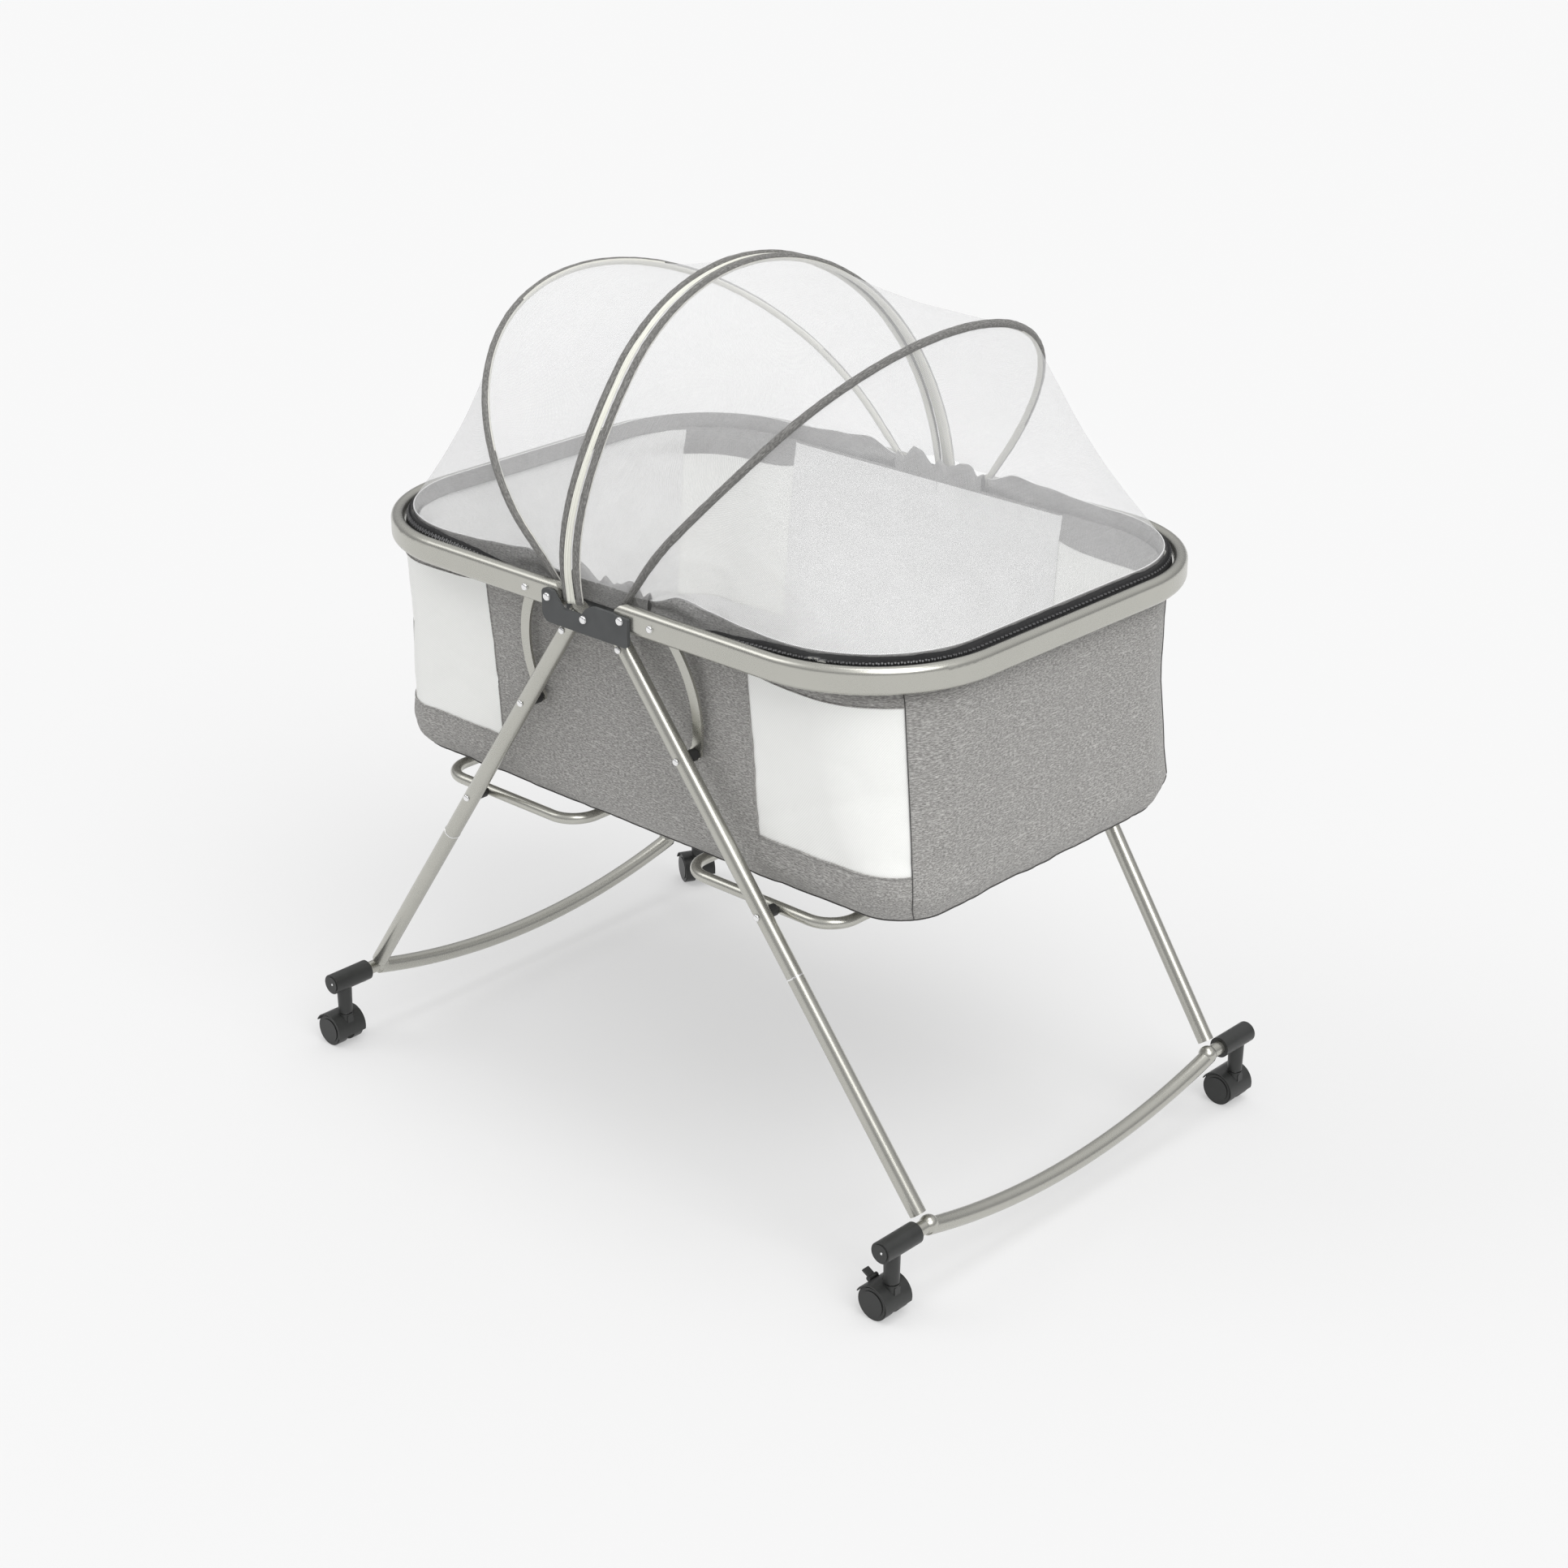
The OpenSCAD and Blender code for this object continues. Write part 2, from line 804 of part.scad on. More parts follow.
// black bushes on the rivets, between the leg and the strap or the loop
module leg_spacer(z, y0) {
  difference() {
    y_rod(leg_x(z), z, y0, leg_y(z), leg_r * 0.72);
    y_rod(leg_x(z), z, y0 - 1, leg_y(z) + 1, leg_rivet_r + set_gap);
    rod(leg_pt(z - 40), leg_pt(z + 40), leg_r + set_gap);
  }
}

module leg_spacers() {
  each_leg() {
    leg_spacer(link_z, strap_low_y + strap_t / 2 + 1.4);
    leg_spacer(loop_z, loop_y + loop_r + 0.3);
  }
}

module leg_spacers_left() {
  color(black) side(-1) leg_spacers();
}

module leg_spacers_right() {
  color(black) side(1) leg_spacers();
}

// ---- link straps ----

link_dx = leg_x(link_z) - link_x;
link_dz = rim_z - link_z;
link_len = norm([link_dx, link_dz]);
link_arc_r = (link_len * link_len / 4 + strap_sag * strap_sag) / (2 * strap_sag);
link_half_a = asin(link_len / 2 / link_arc_r);
link_turn = atan2(link_dx, link_dz);
strap_tip = asin((strap_top_y - strap_low_y) / link_dz);

module strap_flat() {
  rotate([90, 0, 0])
    translate([0, 0, -strap_t / 2])
      translate([-(link_arc_r - strap_sag), -link_len / 2])
        rotate([0, 0, -link_half_a])
          rotate_extrude(angle = 2 * link_half_a, $fn = strap_fn * 3)
            translate([link_arc_r - strap_w / 2, 0])
              square([strap_w, strap_t]);
  for (z = [0, -link_len])
    translate([0, 0, z])
      rotate([90, 0, 0])
        cylinder(h = strap_t, r = strap_w / 2 + 1.5, center = true);
}

module links_shape() {
  front_and_back()
    difference() {
      translate([link_x, strap_top_y, rim_z])
        rotate([-strap_tip, 0, 0])
          rotate([0, -link_turn, 0])
            strap_flat();
      translate([0, rim_in_y - soft_gap, link_z])
        cube([2 * link_x, rim_t, rim_z]);
      y_rod(link_x, rim_z, strap_top_y - 30, strap_top_y + 30, strap_hole_r);
      y_rod(leg_x(link_z), link_z, strap_low_y - 30, strap_low_y + 30, leg_rivet_r + run_gap);
    }
}

module links_left() {
  color(metal) side(-1) links_shape();
}

module links_right() {
  color(metal) side(1) links_shape();
}

// ---- support loops, boards and mattress ----

module loop_shape() {
  difference() {
    translate([0, 0, loop_z]) {
      front_and_back() {
        y0 = loop_y - loop_corner;
        translate([loop_x0 + loop_corner, loop_y, 0])
          rotate([0, 90, 0])
            cylinder(h = loop_x1 - loop_x0 - 2 * loop_corner, r = loop_r);
        translate([loop_x1 - loop_corner, y0, 0])
          rotate_extrude(angle = 90)
            translate([loop_corner, 0])
              circle(r = loop_r, $fn = 32);
        translate([loop_x0 + loop_corner, y0, 0])
          rotate([0, 0, 90])
            rotate_extrude(angle = 90)
              translate([loop_corner, 0])
                circle(r = loop_r, $fn = 32);
      }
      for (x = [loop_x0, loop_x1])
        translate([x, loop_y - loop_corner, 0])
          rotate([90, 0, 0])
            cylinder(h = 2 * (loop_y - loop_corner), r = loop_r);
    }
    front_and_back()
      y_rod(leg_x(loop_z), loop_z, loop_y - 20, loop_y + 20, leg_rivet_r + run_gap);
  }
}

module support_loop_left() {
  color(metal) side(-1) loop_shape();
}

module support_loop_right() {
  color(metal) side(1) loop_shape();
}

// a slab with its two outer corners rounded
module bed_slab(x1, half, r, t) {
  linear_extrude(height = t)
    union() {
      translate([bed_x0, -half])
        square([x1 - r - bed_x0, 2 * half]);
      translate([bed_x0, -half + r])
        square([x1 - bed_x0, 2 * (half - r)]);
      for (y = [-1, 1])
        translate([x1 - r, y * (half - r)])
          circle(r = r);
    }
}

module base_board_left() {
  color(cream) side(-1) translate([0, 0, board_z0]) bed_slab(board_x1, board_y, board_r, board_t);
}

module base_board_right() {
  color(cream) side(1) translate([0, 0, board_z0]) bed_slab(board_x1, board_y, board_r, board_t);
}

module mattress_left() {
  color(net_white) side(-1)
    translate([0, 0, mattress_z0])
      bed_slab(mattress_x1, mattress_y, mattress_r, mattress_t);
}

module mattress_right() {
  color(net_white) side(1)
    translate([0, 0, mattress_z0])
      bed_slab(mattress_x1, mattress_y, mattress_r, mattress_t);
}

// ---- casters ----

// corner: +1 right or back, -1 left or front
module corner(sx, sy) {
  translate([frame_dx + sx * foot_x, frame_dy, 0])
    mirror([0, sy < 0 ? 1 : 0, 0])
      children();
}

module socket_shape() {
  difference() {
    union() {
      y_rod(0, foot_z, barrel_y0, barrel_y1, barrel_r);
      y_rod(0, foot_z, barrel_y1, barrel_y1 + 1.2, barrel_r - 2.5);
      translate([0, post_y, post_z0])
        cylinder(h = foot_z - post_z0, r1 = post_low_r, r2 = post_r);
    }
    y_rod(0, foot_z, barrel_y0 - 1, spigot_y1 + 0.2, spigot_r + run_gap);
    translate([0, post_y, post_z0 - 1])
      cylinder(h = stem_top_z - post_z0 + 1.3, r = stem_r + run_gap);
  }
}

module socket_front_left() {
  color(black) corner(-1, -1) socket_shape();
}

module socket_front_right() {
  color(black) corner(1, -1) socket_shape();
}

module socket_back_left() {
  color(black) corner(-1, 1) socket_shape();
}

module socket_back_right() {
  color(black) corner(1, 1) socket_shape();
}

// the fork stands on the stem's axis; wheels trail towards -X
module swivel(turn) {
  translate([0, post_y, 0])
    rotate([0, 0, turn])
      children();
}

module fork_body() {
  difference() {
    union() {
      translate([0, 0, boss_z1])
        cylinder(h = stem_top_z - boss_z1, r = stem_r);
      difference() {
        translate([0, 0, boss_z0])
          cylinder(h = boss_z1 - boss_z0, r = post_low_r);
        front_and_back()
          y_rod(-wheel_trail, wheel_r, web_half, 2 * hood_half, hood_r - hood_wall);
      }
      // web between the wheels
      translate([-wheel_trail, 0, wheel_r])
        rotate([90, 0, 0])
          cylinder(h = 2 * web_half, r = web_r, center = true);
      translate([-wheel_trail, -web_half, wheel_r])
        cube([wheel_trail + post_low_r, 2 * web_half, boss_z1 - wheel_r - 2]);
      // hood over the top of both wheels
      translate([-wheel_trail, 0, wheel_r])
        rotate([90, 0, 0])
          difference() {
            cylinder(h = 2 * hood_half, r = hood_r, center = true);
            translate([0, 0, web_half])
              cylinder(h = 2 * hood_half, r = hood_r - hood_wall);
            translate([0, 0, -web_half - 2 * hood_half])
              cylinder(h = 2 * hood_half, r = hood_r - hood_wall);
            rotate([0, 0, -20])
              translate([-2 * hood_r, -2 * hood_r, -2 * hood_half])
                cube([4 * hood_r, 2 * hood_r + 2, 4 * hood_half]);
          }
    }
    y_rod(-wheel_trail, wheel_r, -2 * hood_half, 2 * hood_half, axle_r + run_gap);
  }
}

module brake_mount() {
  translate([-wheel_trail + brake_dx, 0, wheel_r + brake_dz]) {
    for (s = [-1, 1])
      translate([0, s * (brake_half + 0.4 + brake_ear_t / 2), 0])
        rotate([90, 0, 0])
          cylinder(h = brake_ear_t, r = brake_ear_r, center = true);
    rotate([90, 0, 0])
      cylinder(h = 2 * brake_half + 3, r = brake_pin_r, center = true);
  }
}

module fork_front_left() {
  color(black) corner(-1, -1) swivel(0) fork_body();
}

module fork_front_right() {
  color(black) corner(1, -1) swivel(0) {
    difference() {
      fork_body();
      brake_room();
    }
    brake_mount();
  }
}

module brake_room() {
  translate([-wheel_trail + brake_dx, 0, wheel_r + brake_dz])
    rotate([90, 0, 0])
      cylinder(h = 2 * brake_half + 0.8, r = brake_ear_r + 0.8, center = true);
}

module fork_back_left() {
  color(black) corner(-1, 1) swivel(back_left_turn) fork_body();
}

module fork_back_right() {
  color(black) corner(1, 1) swivel(0) fork_body();
}

module wheel_pair() {
  w0 = web_half + wheel_gap;
  y_rod(-wheel_trail, wheel_r, -w0 - 2, w0 + 2, axle_r);
  front_and_back() {
    y_rod(-wheel_trail, wheel_r, w0, w0 + wheel_w - 2, wheel_r);
    y_rod(-wheel_trail, wheel_r, w0 + wheel_w - 2, w0 + wheel_w - 1, wheel_r - 1.5);
    y_rod(-wheel_trail, wheel_r, w0 + wheel_w - 1, w0 + wheel_w, wheel_r - 5);
  }
}

module wheels_front_left() {
  color(black) corner(-1, -1) swivel(0) wheel_pair();
}

module wheels_front_right() {
  color(black) corner(1, -1) swivel(0) wheel_pair();
}

module wheels_back_left() {
  color(black) corner(-1, 1) swivel(back_left_turn) wheel_pair();
}

module wheels_back_right() {
  color(black) corner(1, 1) swivel(0) wheel_pair();
}

module brake_lever() {
  color(black) corner(1, -1) swivel(0)
    translate([-wheel_trail + brake_dx, 0, wheel_r + brake_dz])
      rotate([90, 0, 0])
        difference() {
          union() {
            cylinder(h = 2 * brake_half, r = brake_ear_r - 0.6, center = true);
            rotate([0, 0, 180 - brake_tilt])
              translate([2, -brake_pad_t / 2, -brake_half])
                cube([brake_pad_l - 2, brake_pad_t, 2 * brake_half]);
          }
          cylinder(h = 4 * brake_half, r = brake_pin_r + run_gap, center = true);
        }
}

bracket_front();
bracket_back();
hub_pins();
hem_middle();
rim_tube_left();
rim_tube_right();
rim_rivets_left();
rim_rivets_right();
zipper_left();
zipper_right();
zip_slider();
hem_left();
hem_right();
bag_left();
bag_right();
windows_left();
windows_right();
hoop_outer_left();
hoop_inner_left();
hoop_inner_right();
hoop_outer_right();
net_end_left();
net_side_left();
net_strip();
net_side_right();
net_end_right();
upper_legs_left();
upper_legs_right();
lower_legs_left();
lower_legs_right();
rocker_left();
rocker_right();
leg_rivets_left();
leg_rivets_right();
leg_spacers_left();
leg_spacers_right();
links_left();
links_right();
support_loop_left();
support_loop_right();
base_board_left();
base_board_right();
mattress_left();
mattress_right();
socket_front_left();
socket_front_right();
socket_back_left();
socket_back_right();
fork_front_left();
fork_front_right();
fork_back_left();
fork_back_right();
wheels_front_left();
wheels_front_right();
wheels_back_left();
wheels_back_right();
brake_lever();
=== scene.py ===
import json
import math

import bpy
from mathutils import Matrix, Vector, noise

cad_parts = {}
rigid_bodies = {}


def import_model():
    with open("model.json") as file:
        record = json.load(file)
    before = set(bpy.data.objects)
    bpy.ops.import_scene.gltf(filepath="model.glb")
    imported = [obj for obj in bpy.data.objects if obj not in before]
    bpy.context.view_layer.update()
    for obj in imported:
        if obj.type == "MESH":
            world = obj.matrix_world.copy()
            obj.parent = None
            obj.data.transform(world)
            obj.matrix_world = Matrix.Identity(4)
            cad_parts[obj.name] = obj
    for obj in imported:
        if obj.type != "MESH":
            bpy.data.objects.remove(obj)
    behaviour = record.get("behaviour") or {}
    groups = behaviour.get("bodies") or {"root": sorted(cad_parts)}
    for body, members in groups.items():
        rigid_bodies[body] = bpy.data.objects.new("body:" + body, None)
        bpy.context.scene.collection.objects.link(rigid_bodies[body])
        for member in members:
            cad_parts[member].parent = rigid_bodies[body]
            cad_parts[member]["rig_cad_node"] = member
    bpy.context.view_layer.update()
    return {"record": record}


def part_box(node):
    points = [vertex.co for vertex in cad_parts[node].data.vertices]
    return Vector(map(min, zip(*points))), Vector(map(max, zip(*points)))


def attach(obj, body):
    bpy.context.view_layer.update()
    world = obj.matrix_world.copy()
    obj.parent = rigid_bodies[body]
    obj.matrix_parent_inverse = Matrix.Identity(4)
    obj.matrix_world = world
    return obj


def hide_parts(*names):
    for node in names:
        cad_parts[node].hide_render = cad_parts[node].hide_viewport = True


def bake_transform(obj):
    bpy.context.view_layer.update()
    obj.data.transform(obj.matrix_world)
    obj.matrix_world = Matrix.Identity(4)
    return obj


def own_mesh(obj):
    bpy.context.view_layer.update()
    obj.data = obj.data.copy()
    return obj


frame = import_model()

# A bassinet on a folding stand. Places are in mm from the middle of the stand on the floor: x along the
# bag, y to the back, z up. at() turns them into the frame's metres. The right half is side 1, the left -1.

bpy.context.scene.view_settings.view_transform = "Standard"
MM = 0.001
JOINTS = {j["name"]: j for j in frame["record"]["behaviour"]["joints"]}


def joint_pos(name):
    return Vector(JOINTS[name]["pos_m"])


RIGHT_PIVOT, LEFT_PIVOT = joint_pos("hoop_outer_r_tilt"), joint_pos("hoop_outer_l_tilt")
MID_X = (RIGHT_PIVOT.x + LEFT_PIVOT.x) / 2
MID_Y = RIGHT_PIVOT.y
TAG = {1: "r", -1: "l"}
WORD = {1: "right", -1: "left"}


def at(x, y, z):
    """A point given in mm from the middle of the stand on the floor."""
    return Vector((MID_X + x * MM, MID_Y + y * MM, z * MM))


def clamp(k):
    return max(0.0, min(1.0, k))


def ease(k):
    """A share from 0 to 1 that starts and ends gently."""
    k = clamp(k)
    return k * k * (3 - 2 * k)


def share(a, b, k):
    """The number at share k of the way from a to b."""
    return a + (b - a) * k


def fbm(x, y, z=0.0):
    """Noise in three octaves, the same for the same point."""
    p = Vector((x, y, z))
    return noise.noise(p) + 0.5 * noise.noise(p * 2.1) + 0.25 * noise.noise(p * 4.3)


# ---- shader tools

BLACK, WHITE = (0, 0, 0), (1, 1, 1)


def new_material(name):
    m = bpy.data.materials.new(name)
    m.use_nodes = True
    return m, m.node_tree, m.node_tree.nodes["Principled BSDF"]


def put(n, inputs):
    """Sets a node's inputs to numbers, vectors or colours, or links them to other nodes' outputs."""
    for key, v in inputs.items():
        socket = n.inputs[key]
        if isinstance(v, bpy.types.NodeSocket):
            n.id_data.links.new(v, socket)
        else:
            socket.default_value = (*v, 1) if socket.type == "RGBA" else v


def add_node(nt, kind, inputs, **settings):
    n = nt.nodes.new("ShaderNode" + kind)
    for key, v in settings.items():
        setattr(n, key, v)
    put(n, inputs)
    return n


def coords(nt, which="UV"):
    return nt.nodes.new("ShaderNodeTexCoord").outputs[which]


def scaled(nt, source, sx, sy, sz, rot_deg=0.0):
    turn = (0, 0, math.radians(rot_deg))
    return add_node(nt, "Mapping", {"Vector": source, "Scale": (sx, sy, sz), "Rotation": turn}).outputs[0]


def maths(nt, op, *values):
    return add_node(nt, "Math", dict(enumerate(values)), operation=op).outputs[0]


def blend_colour(nt, fac, a, b):
    return add_node(nt, "Mix", {0: fac, 6: a, 7: b}, data_type="RGBA").outputs[2]


def shade(colour, k):
    """The colour k times as bright, short of pure white."""
    return tuple(min(0.97, c * k) for c in colour)


def ramp(nt, fac, stops):
    n = add_node(nt, "ValToRGB", {"Fac": fac})
    e = n.color_ramp.elements
    while len(e) < len(stops):
        e.new(0.5)
    for i, (place, colour) in enumerate(stops):
        e[i].position = place
        e[i].color = (*colour, 1)
    return n.outputs["Color"]


def mask(nt, source, stops, amount):
    """A share of up to amount, where the ramp over the source is white."""
    return maths(nt, "MULTIPLY", ramp(nt, source, stops), amount)


def bump(nt, height, strength, distance):
    inputs = {"Height": height, "Strength": strength, "Distance": distance}
    return add_node(nt, "Bump", inputs).outputs["Normal"]


def noise_tex(nt, vec, scale, detail=3.0, rough=0.5):
    inputs = {"Vector": vec, "Scale": scale, "Detail": detail, "Roughness": rough}
    return add_node(nt, "TexNoise", inputs).outputs["Fac"]


def wave_tex(nt, vec, scale, direction="X", distortion=0.0):
    inputs = {"Vector": vec, "Scale": scale, "Distortion": distortion}
    return add_node(nt, "TexWave", inputs, bands_direction=direction).outputs["Fac"]


# ---- materials


def make_aluminium(name, tint, rough):
    """Satin metal: a fine grain, and faint clouds in its tone and gloss."""
    m, nt, b = new_material(name)
    co = coords(nt, "Object")
    fine = noise_tex(nt, co, 900, 2)
    cloud = noise_tex(nt, co, 14, 3)
    gloss = maths(nt, "MULTIPLY_ADD", fine, 0.06, rough - 0.03)
    put(b, {"Metallic": 0.9, "Base Color": blend_colour(nt, cloud, shade(tint, 0.93), shade(tint, 1.05)),
            "Roughness": maths(nt, "MULTIPLY_ADD", cloud, 0.06, gloss),
            "Normal": bump(nt, fine, 0.012, 0.0003)})
    return m


def make_plastic(name, colour, rough, grain=2600, depth=0.12):
    """Moulded or coated: a fine grain, with patches of tone and gloss."""
    m, nt, b = new_material(name)
    co = coords(nt, "Object")
    patch = noise_tex(nt, co, 60, 4)
    put(b, {"Base Color": blend_colour(nt, patch, shade(colour, 0.8), shade(colour, 1.35)),
            "Roughness": maths(nt, "MULTIPLY_ADD", patch, 0.18, rough - 0.09),
            "Specular IOR Level": 0.45, "Normal": bump(nt, noise_tex(nt, co, grain, 2), depth, 0.0003)})
    return m


def make_melange(name, dark, mid, light):
    """Melange woven cloth: two-tone yarns, pale slubs along the weft, dark specks, thread bump."""
    m, nt, b = new_material(name)
    co = coords(nt)
    yarn = noise_tex(nt, scaled(nt, co, 260, 900, 300), 1.0, 4, 0.65)
    speck = noise_tex(nt, scaled(nt, co, 520, 520, 520), 1.0, 3, 0.7)
    slubs = noise_tex(nt, scaled(nt, co, 120, 760, 80, -10), 1.0, 2, 0.5)
    long_slubs = noise_tex(nt, scaled(nt, co, 42, 330, 60, -14), 1.0, 2, 0.45)
    patch = noise_tex(nt, scaled(nt, co, 9, 9, 9), 1.0, 4, 0.6)
    base = ramp(nt, yarn, [(0.30, dark), (0.50, mid), (0.72, light)])
    base = blend_colour(nt, mask(nt, slubs, [(0.55, BLACK), (0.68, WHITE)], 0.52), base, light)
    base = blend_colour(nt, mask(nt, long_slubs, [(0.60, BLACK), (0.72, WHITE)], 0.45), base, light)
    base = blend_colour(nt, mask(nt, speck, [(0.30, WHITE), (0.46, BLACK)], 0.5), base, dark)
    base = blend_colour(nt, maths(nt, "MULTIPLY", patch, 0.22), base, mid)
    threads = maths(nt, "ADD", wave_tex(nt, co, 420, "X"), wave_tex(nt, co, 420, "Y"))
    relief = maths(nt, "ADD", maths(nt, "MULTIPLY", threads, 0.35), yarn)
    put(b, {"Base Color": base, "Roughness": 0.9, "Sheen Weight": 0.15, "Specular IOR Level": 0.2,
            "Normal": bump(nt, relief, 0.35, 0.0006)})
    return m


def make_net(name, colour, low, high, pitch):
    """Fine knitted net: small open cells, so it veils what is behind it."""
    m, nt, b = new_material(name)
    co = coords(nt)
    k = 1.0 / pitch
    cell = maths(nt, "MAXIMUM", *(wave_tex(nt, scaled(nt, co, k, k, 1, lean), 0.32) for lean in (32, -32)))
    soft = noise_tex(nt, scaled(nt, co, 30, 30, 30), 1.0, 3)
    twill = noise_tex(nt, scaled(nt, co, 30, 420, 30, -14), 1.0, 2)
    cover = maths(nt, "MULTIPLY_ADD", cell, high - low, low)
    cover = maths(nt, "ADD", cover, maths(nt, "MULTIPLY_ADD", soft, 0.06, -0.03))
    cover = maths(nt, "ADD", cover, maths(nt, "MULTIPLY_ADD", twill, 0.10, -0.05))
    put(b, {"Base Color": blend_colour(nt, soft, shade(colour, 0.95), colour), "Alpha": cover,
            "Roughness": 0.75, "Specular IOR Level": 0.1, "Normal": bump(nt, cell, 0.2, 0.0003)})
    return m


def make_window(name):
    """Close-knit white mesh: fine diagonal ribs, almost opaque."""
    m, nt, b = new_material(name)
    co = coords(nt)
    rib = wave_tex(nt, scaled(nt, co, 1, 1, 1, 58), 210, "X", 0.4)
    cross_rib = wave_tex(nt, scaled(nt, co, 1, 1, 1, -40), 160, "X", 0.3)
    soft = noise_tex(nt, scaled(nt, co, 12, 12, 12), 1.0, 3)
    tone = maths(nt, "MULTIPLY_ADD", rib, 0.5, maths(nt, "MULTIPLY", cross_rib, 0.5))
    cover = maths(nt, "MULTIPLY_ADD", tone, 0.10, maths(nt, "MULTIPLY_ADD", soft, 0.04, 0.86))
    put(b, {"Base Color": ramp(nt, tone, [(0.1, (0.90, 0.905, 0.88)), (0.8, (0.97, 0.975, 0.95))]),
            "Alpha": cover, "Roughness": 0.8, "Specular IOR Level": 0.2,
            "Normal": bump(nt, tone, 0.3, 0.0004)})
    return m


def make_cloth(name, colour, rough, scale, sheen, depth):
    """Plain woven cloth with patches of tone and gloss."""
    m, nt, b = new_material(name)
    co = coords(nt)
    weave = maths(nt, "ADD", wave_tex(nt, co, scale, "X", 0.5), wave_tex(nt, co, scale, "Y", 0.5))
    patch = noise_tex(nt, scaled(nt, co, 25, 25, 25), 1.0, 4)
    put(b, {"Base Color": blend_colour(nt, patch, shade(colour, 0.93), shade(colour, 1.05)),
            "Roughness": maths(nt, "MULTIPLY_ADD", patch, 0.15, rough - 0.08), "Sheen Weight": sheen,
            "Normal": bump(nt, weave, depth, 0.0004)})
    return m


MAT = {
    "frame_aluminium": make_aluminium("satin_champagne", (0.51, 0.505, 0.462), 0.25),
    "rivet_zinc": make_aluminium("zinc", (0.86, 0.86, 0.86), 0.15),
    "bracket_charcoal": make_plastic("charcoal_coat", (0.062, 0.065, 0.066), 0.52, 1800, 0.15),
    "caster_plastic": make_plastic("black_moulded", (0.026, 0.027, 0.026), 0.40),
    "wheel_tread": make_plastic("black_wheel", (0.022, 0.023, 0.022), 0.36, 1500, 0.08),
    "bush_plastic": make_plastic("black_bush", (0.02, 0.02, 0.02), 0.5),
    "bag_fabric": make_melange("melange_bag", (0.12, 0.116, 0.111), (0.315, 0.308, 0.296),
                               (0.70, 0.69, 0.665)),
    "hem_band": make_melange("melange_hem", (0.15, 0.15, 0.147), (0.29, 0.287, 0.282), (0.48, 0.475, 0.465)),
    "hoop_sleeve": make_melange("melange_sleeve", (0.075, 0.074, 0.070), (0.175, 0.172, 0.165),
                                (0.36, 0.355, 0.34)),
    "sleeve_inner": make_cloth("sleeve_inner_cloth", (0.70, 0.695, 0.64), 0.75, 700, 0.15, 0.2),
    "canopy_net": make_net("white_net", (0.86, 0.86, 0.865), 0.17, 0.37, 0.0016),
    "window_mesh": make_window("window_knit"),
    "lining": make_cloth("white_lining", (0.93, 0.93, 0.925), 0.85, 380, 0.1, 0.35),
    "strip_satin": make_cloth("cream_satin", (0.80, 0.80, 0.72), 0.38, 700, 0.35, 0.1),
    "zipper_tape": make_cloth("black_tape", (0.010, 0.010, 0.011), 0.38, 650, 0.02, 0.5),
    "zipper_teeth": make_plastic("black_teeth", (0.085, 0.085, 0.088), 0.28, 900, 0.05),
    "piping": make_cloth("dark_piping", (0.075, 0.072, 0.07), 0.8, 700, 0.1, 0.3),
    "mattress_cover": make_cloth("quilt_cover", (0.93, 0.928, 0.92), 0.85, 420, 0.2, 0.35),
    "base_board": make_cloth("board_cover", (0.66, 0.65, 0.62), 0.8, 300, 0.1, 0.3),
}


def dress_cad_nodes():
    """Every CAD node keeps its mesh and takes the material of its slot."""
    slots = {s["node"]: s["material_slot"] for s in frame["record"]["subparts"]}
    for o in bpy.context.scene.objects:
        if "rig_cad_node" not in o:
            continue
        mat = MAT[slots[o["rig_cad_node"]]]
        if not o.data.materials:
            o.data.materials.append(mat)
        for slot in o.material_slots:
            slot.link = "OBJECT"
            slot.material = mat


dress_cad_nodes()

# ---- mesh tools


def make_object(name, verts, faces, uvs, mats, face_mats=None, smooth=True):
    """A mesh object with one UV for each point, or with all its UVs at zero where uvs is None."""
    me = bpy.data.meshes.new(name)
    me.from_pydata([tuple(v) for v in verts], [], faces)
    me.validate()
    layer = me.uv_layers.new(name="UVMap")
    for loop in me.loops:
        layer.data[loop.index].uv = uvs[loop.vertex_index] if uvs else (0, 0)
    for m in mats:
        me.materials.append(m)
    if face_mats is not None:
        for p, k in zip(me.polygons, face_mats):
            p.material_index = k
    if smooth:
        me.polygons.foreach_set("use_smooth", [True] * len(me.polygons))
    me.update()
    o = bpy.data.objects.new(name, me)
    bpy.context.scene.collection.objects.link(o)
    return o


def running_length(points):
    out = [0.0]
    for a, b in zip(points, points[1:]):
        out.append(out[-1] + (b - a).length)
    return out


def sample(fn, n):
    return [fn(i / n) for i in range(n + 1)]


def grid_object(name, rows, mat):
    """A sheet through the points rows[j][i], with its UVs in metres along and across."""
    n = len(rows[0])
    us = running_length(rows[len(rows) // 2])
    vs = running_length([r[n // 2] for r in rows])
    faces = [(j * n + i, j * n + i + 1, (j + 1) * n + i + 1, (j + 1) * n + i)
             for j in range(len(rows) - 1) for i in range(n - 1)]
    o = make_object(name, [p for r in rows for p in r], faces, [(u, v) for v in vs for u in us], [mat])
    return o


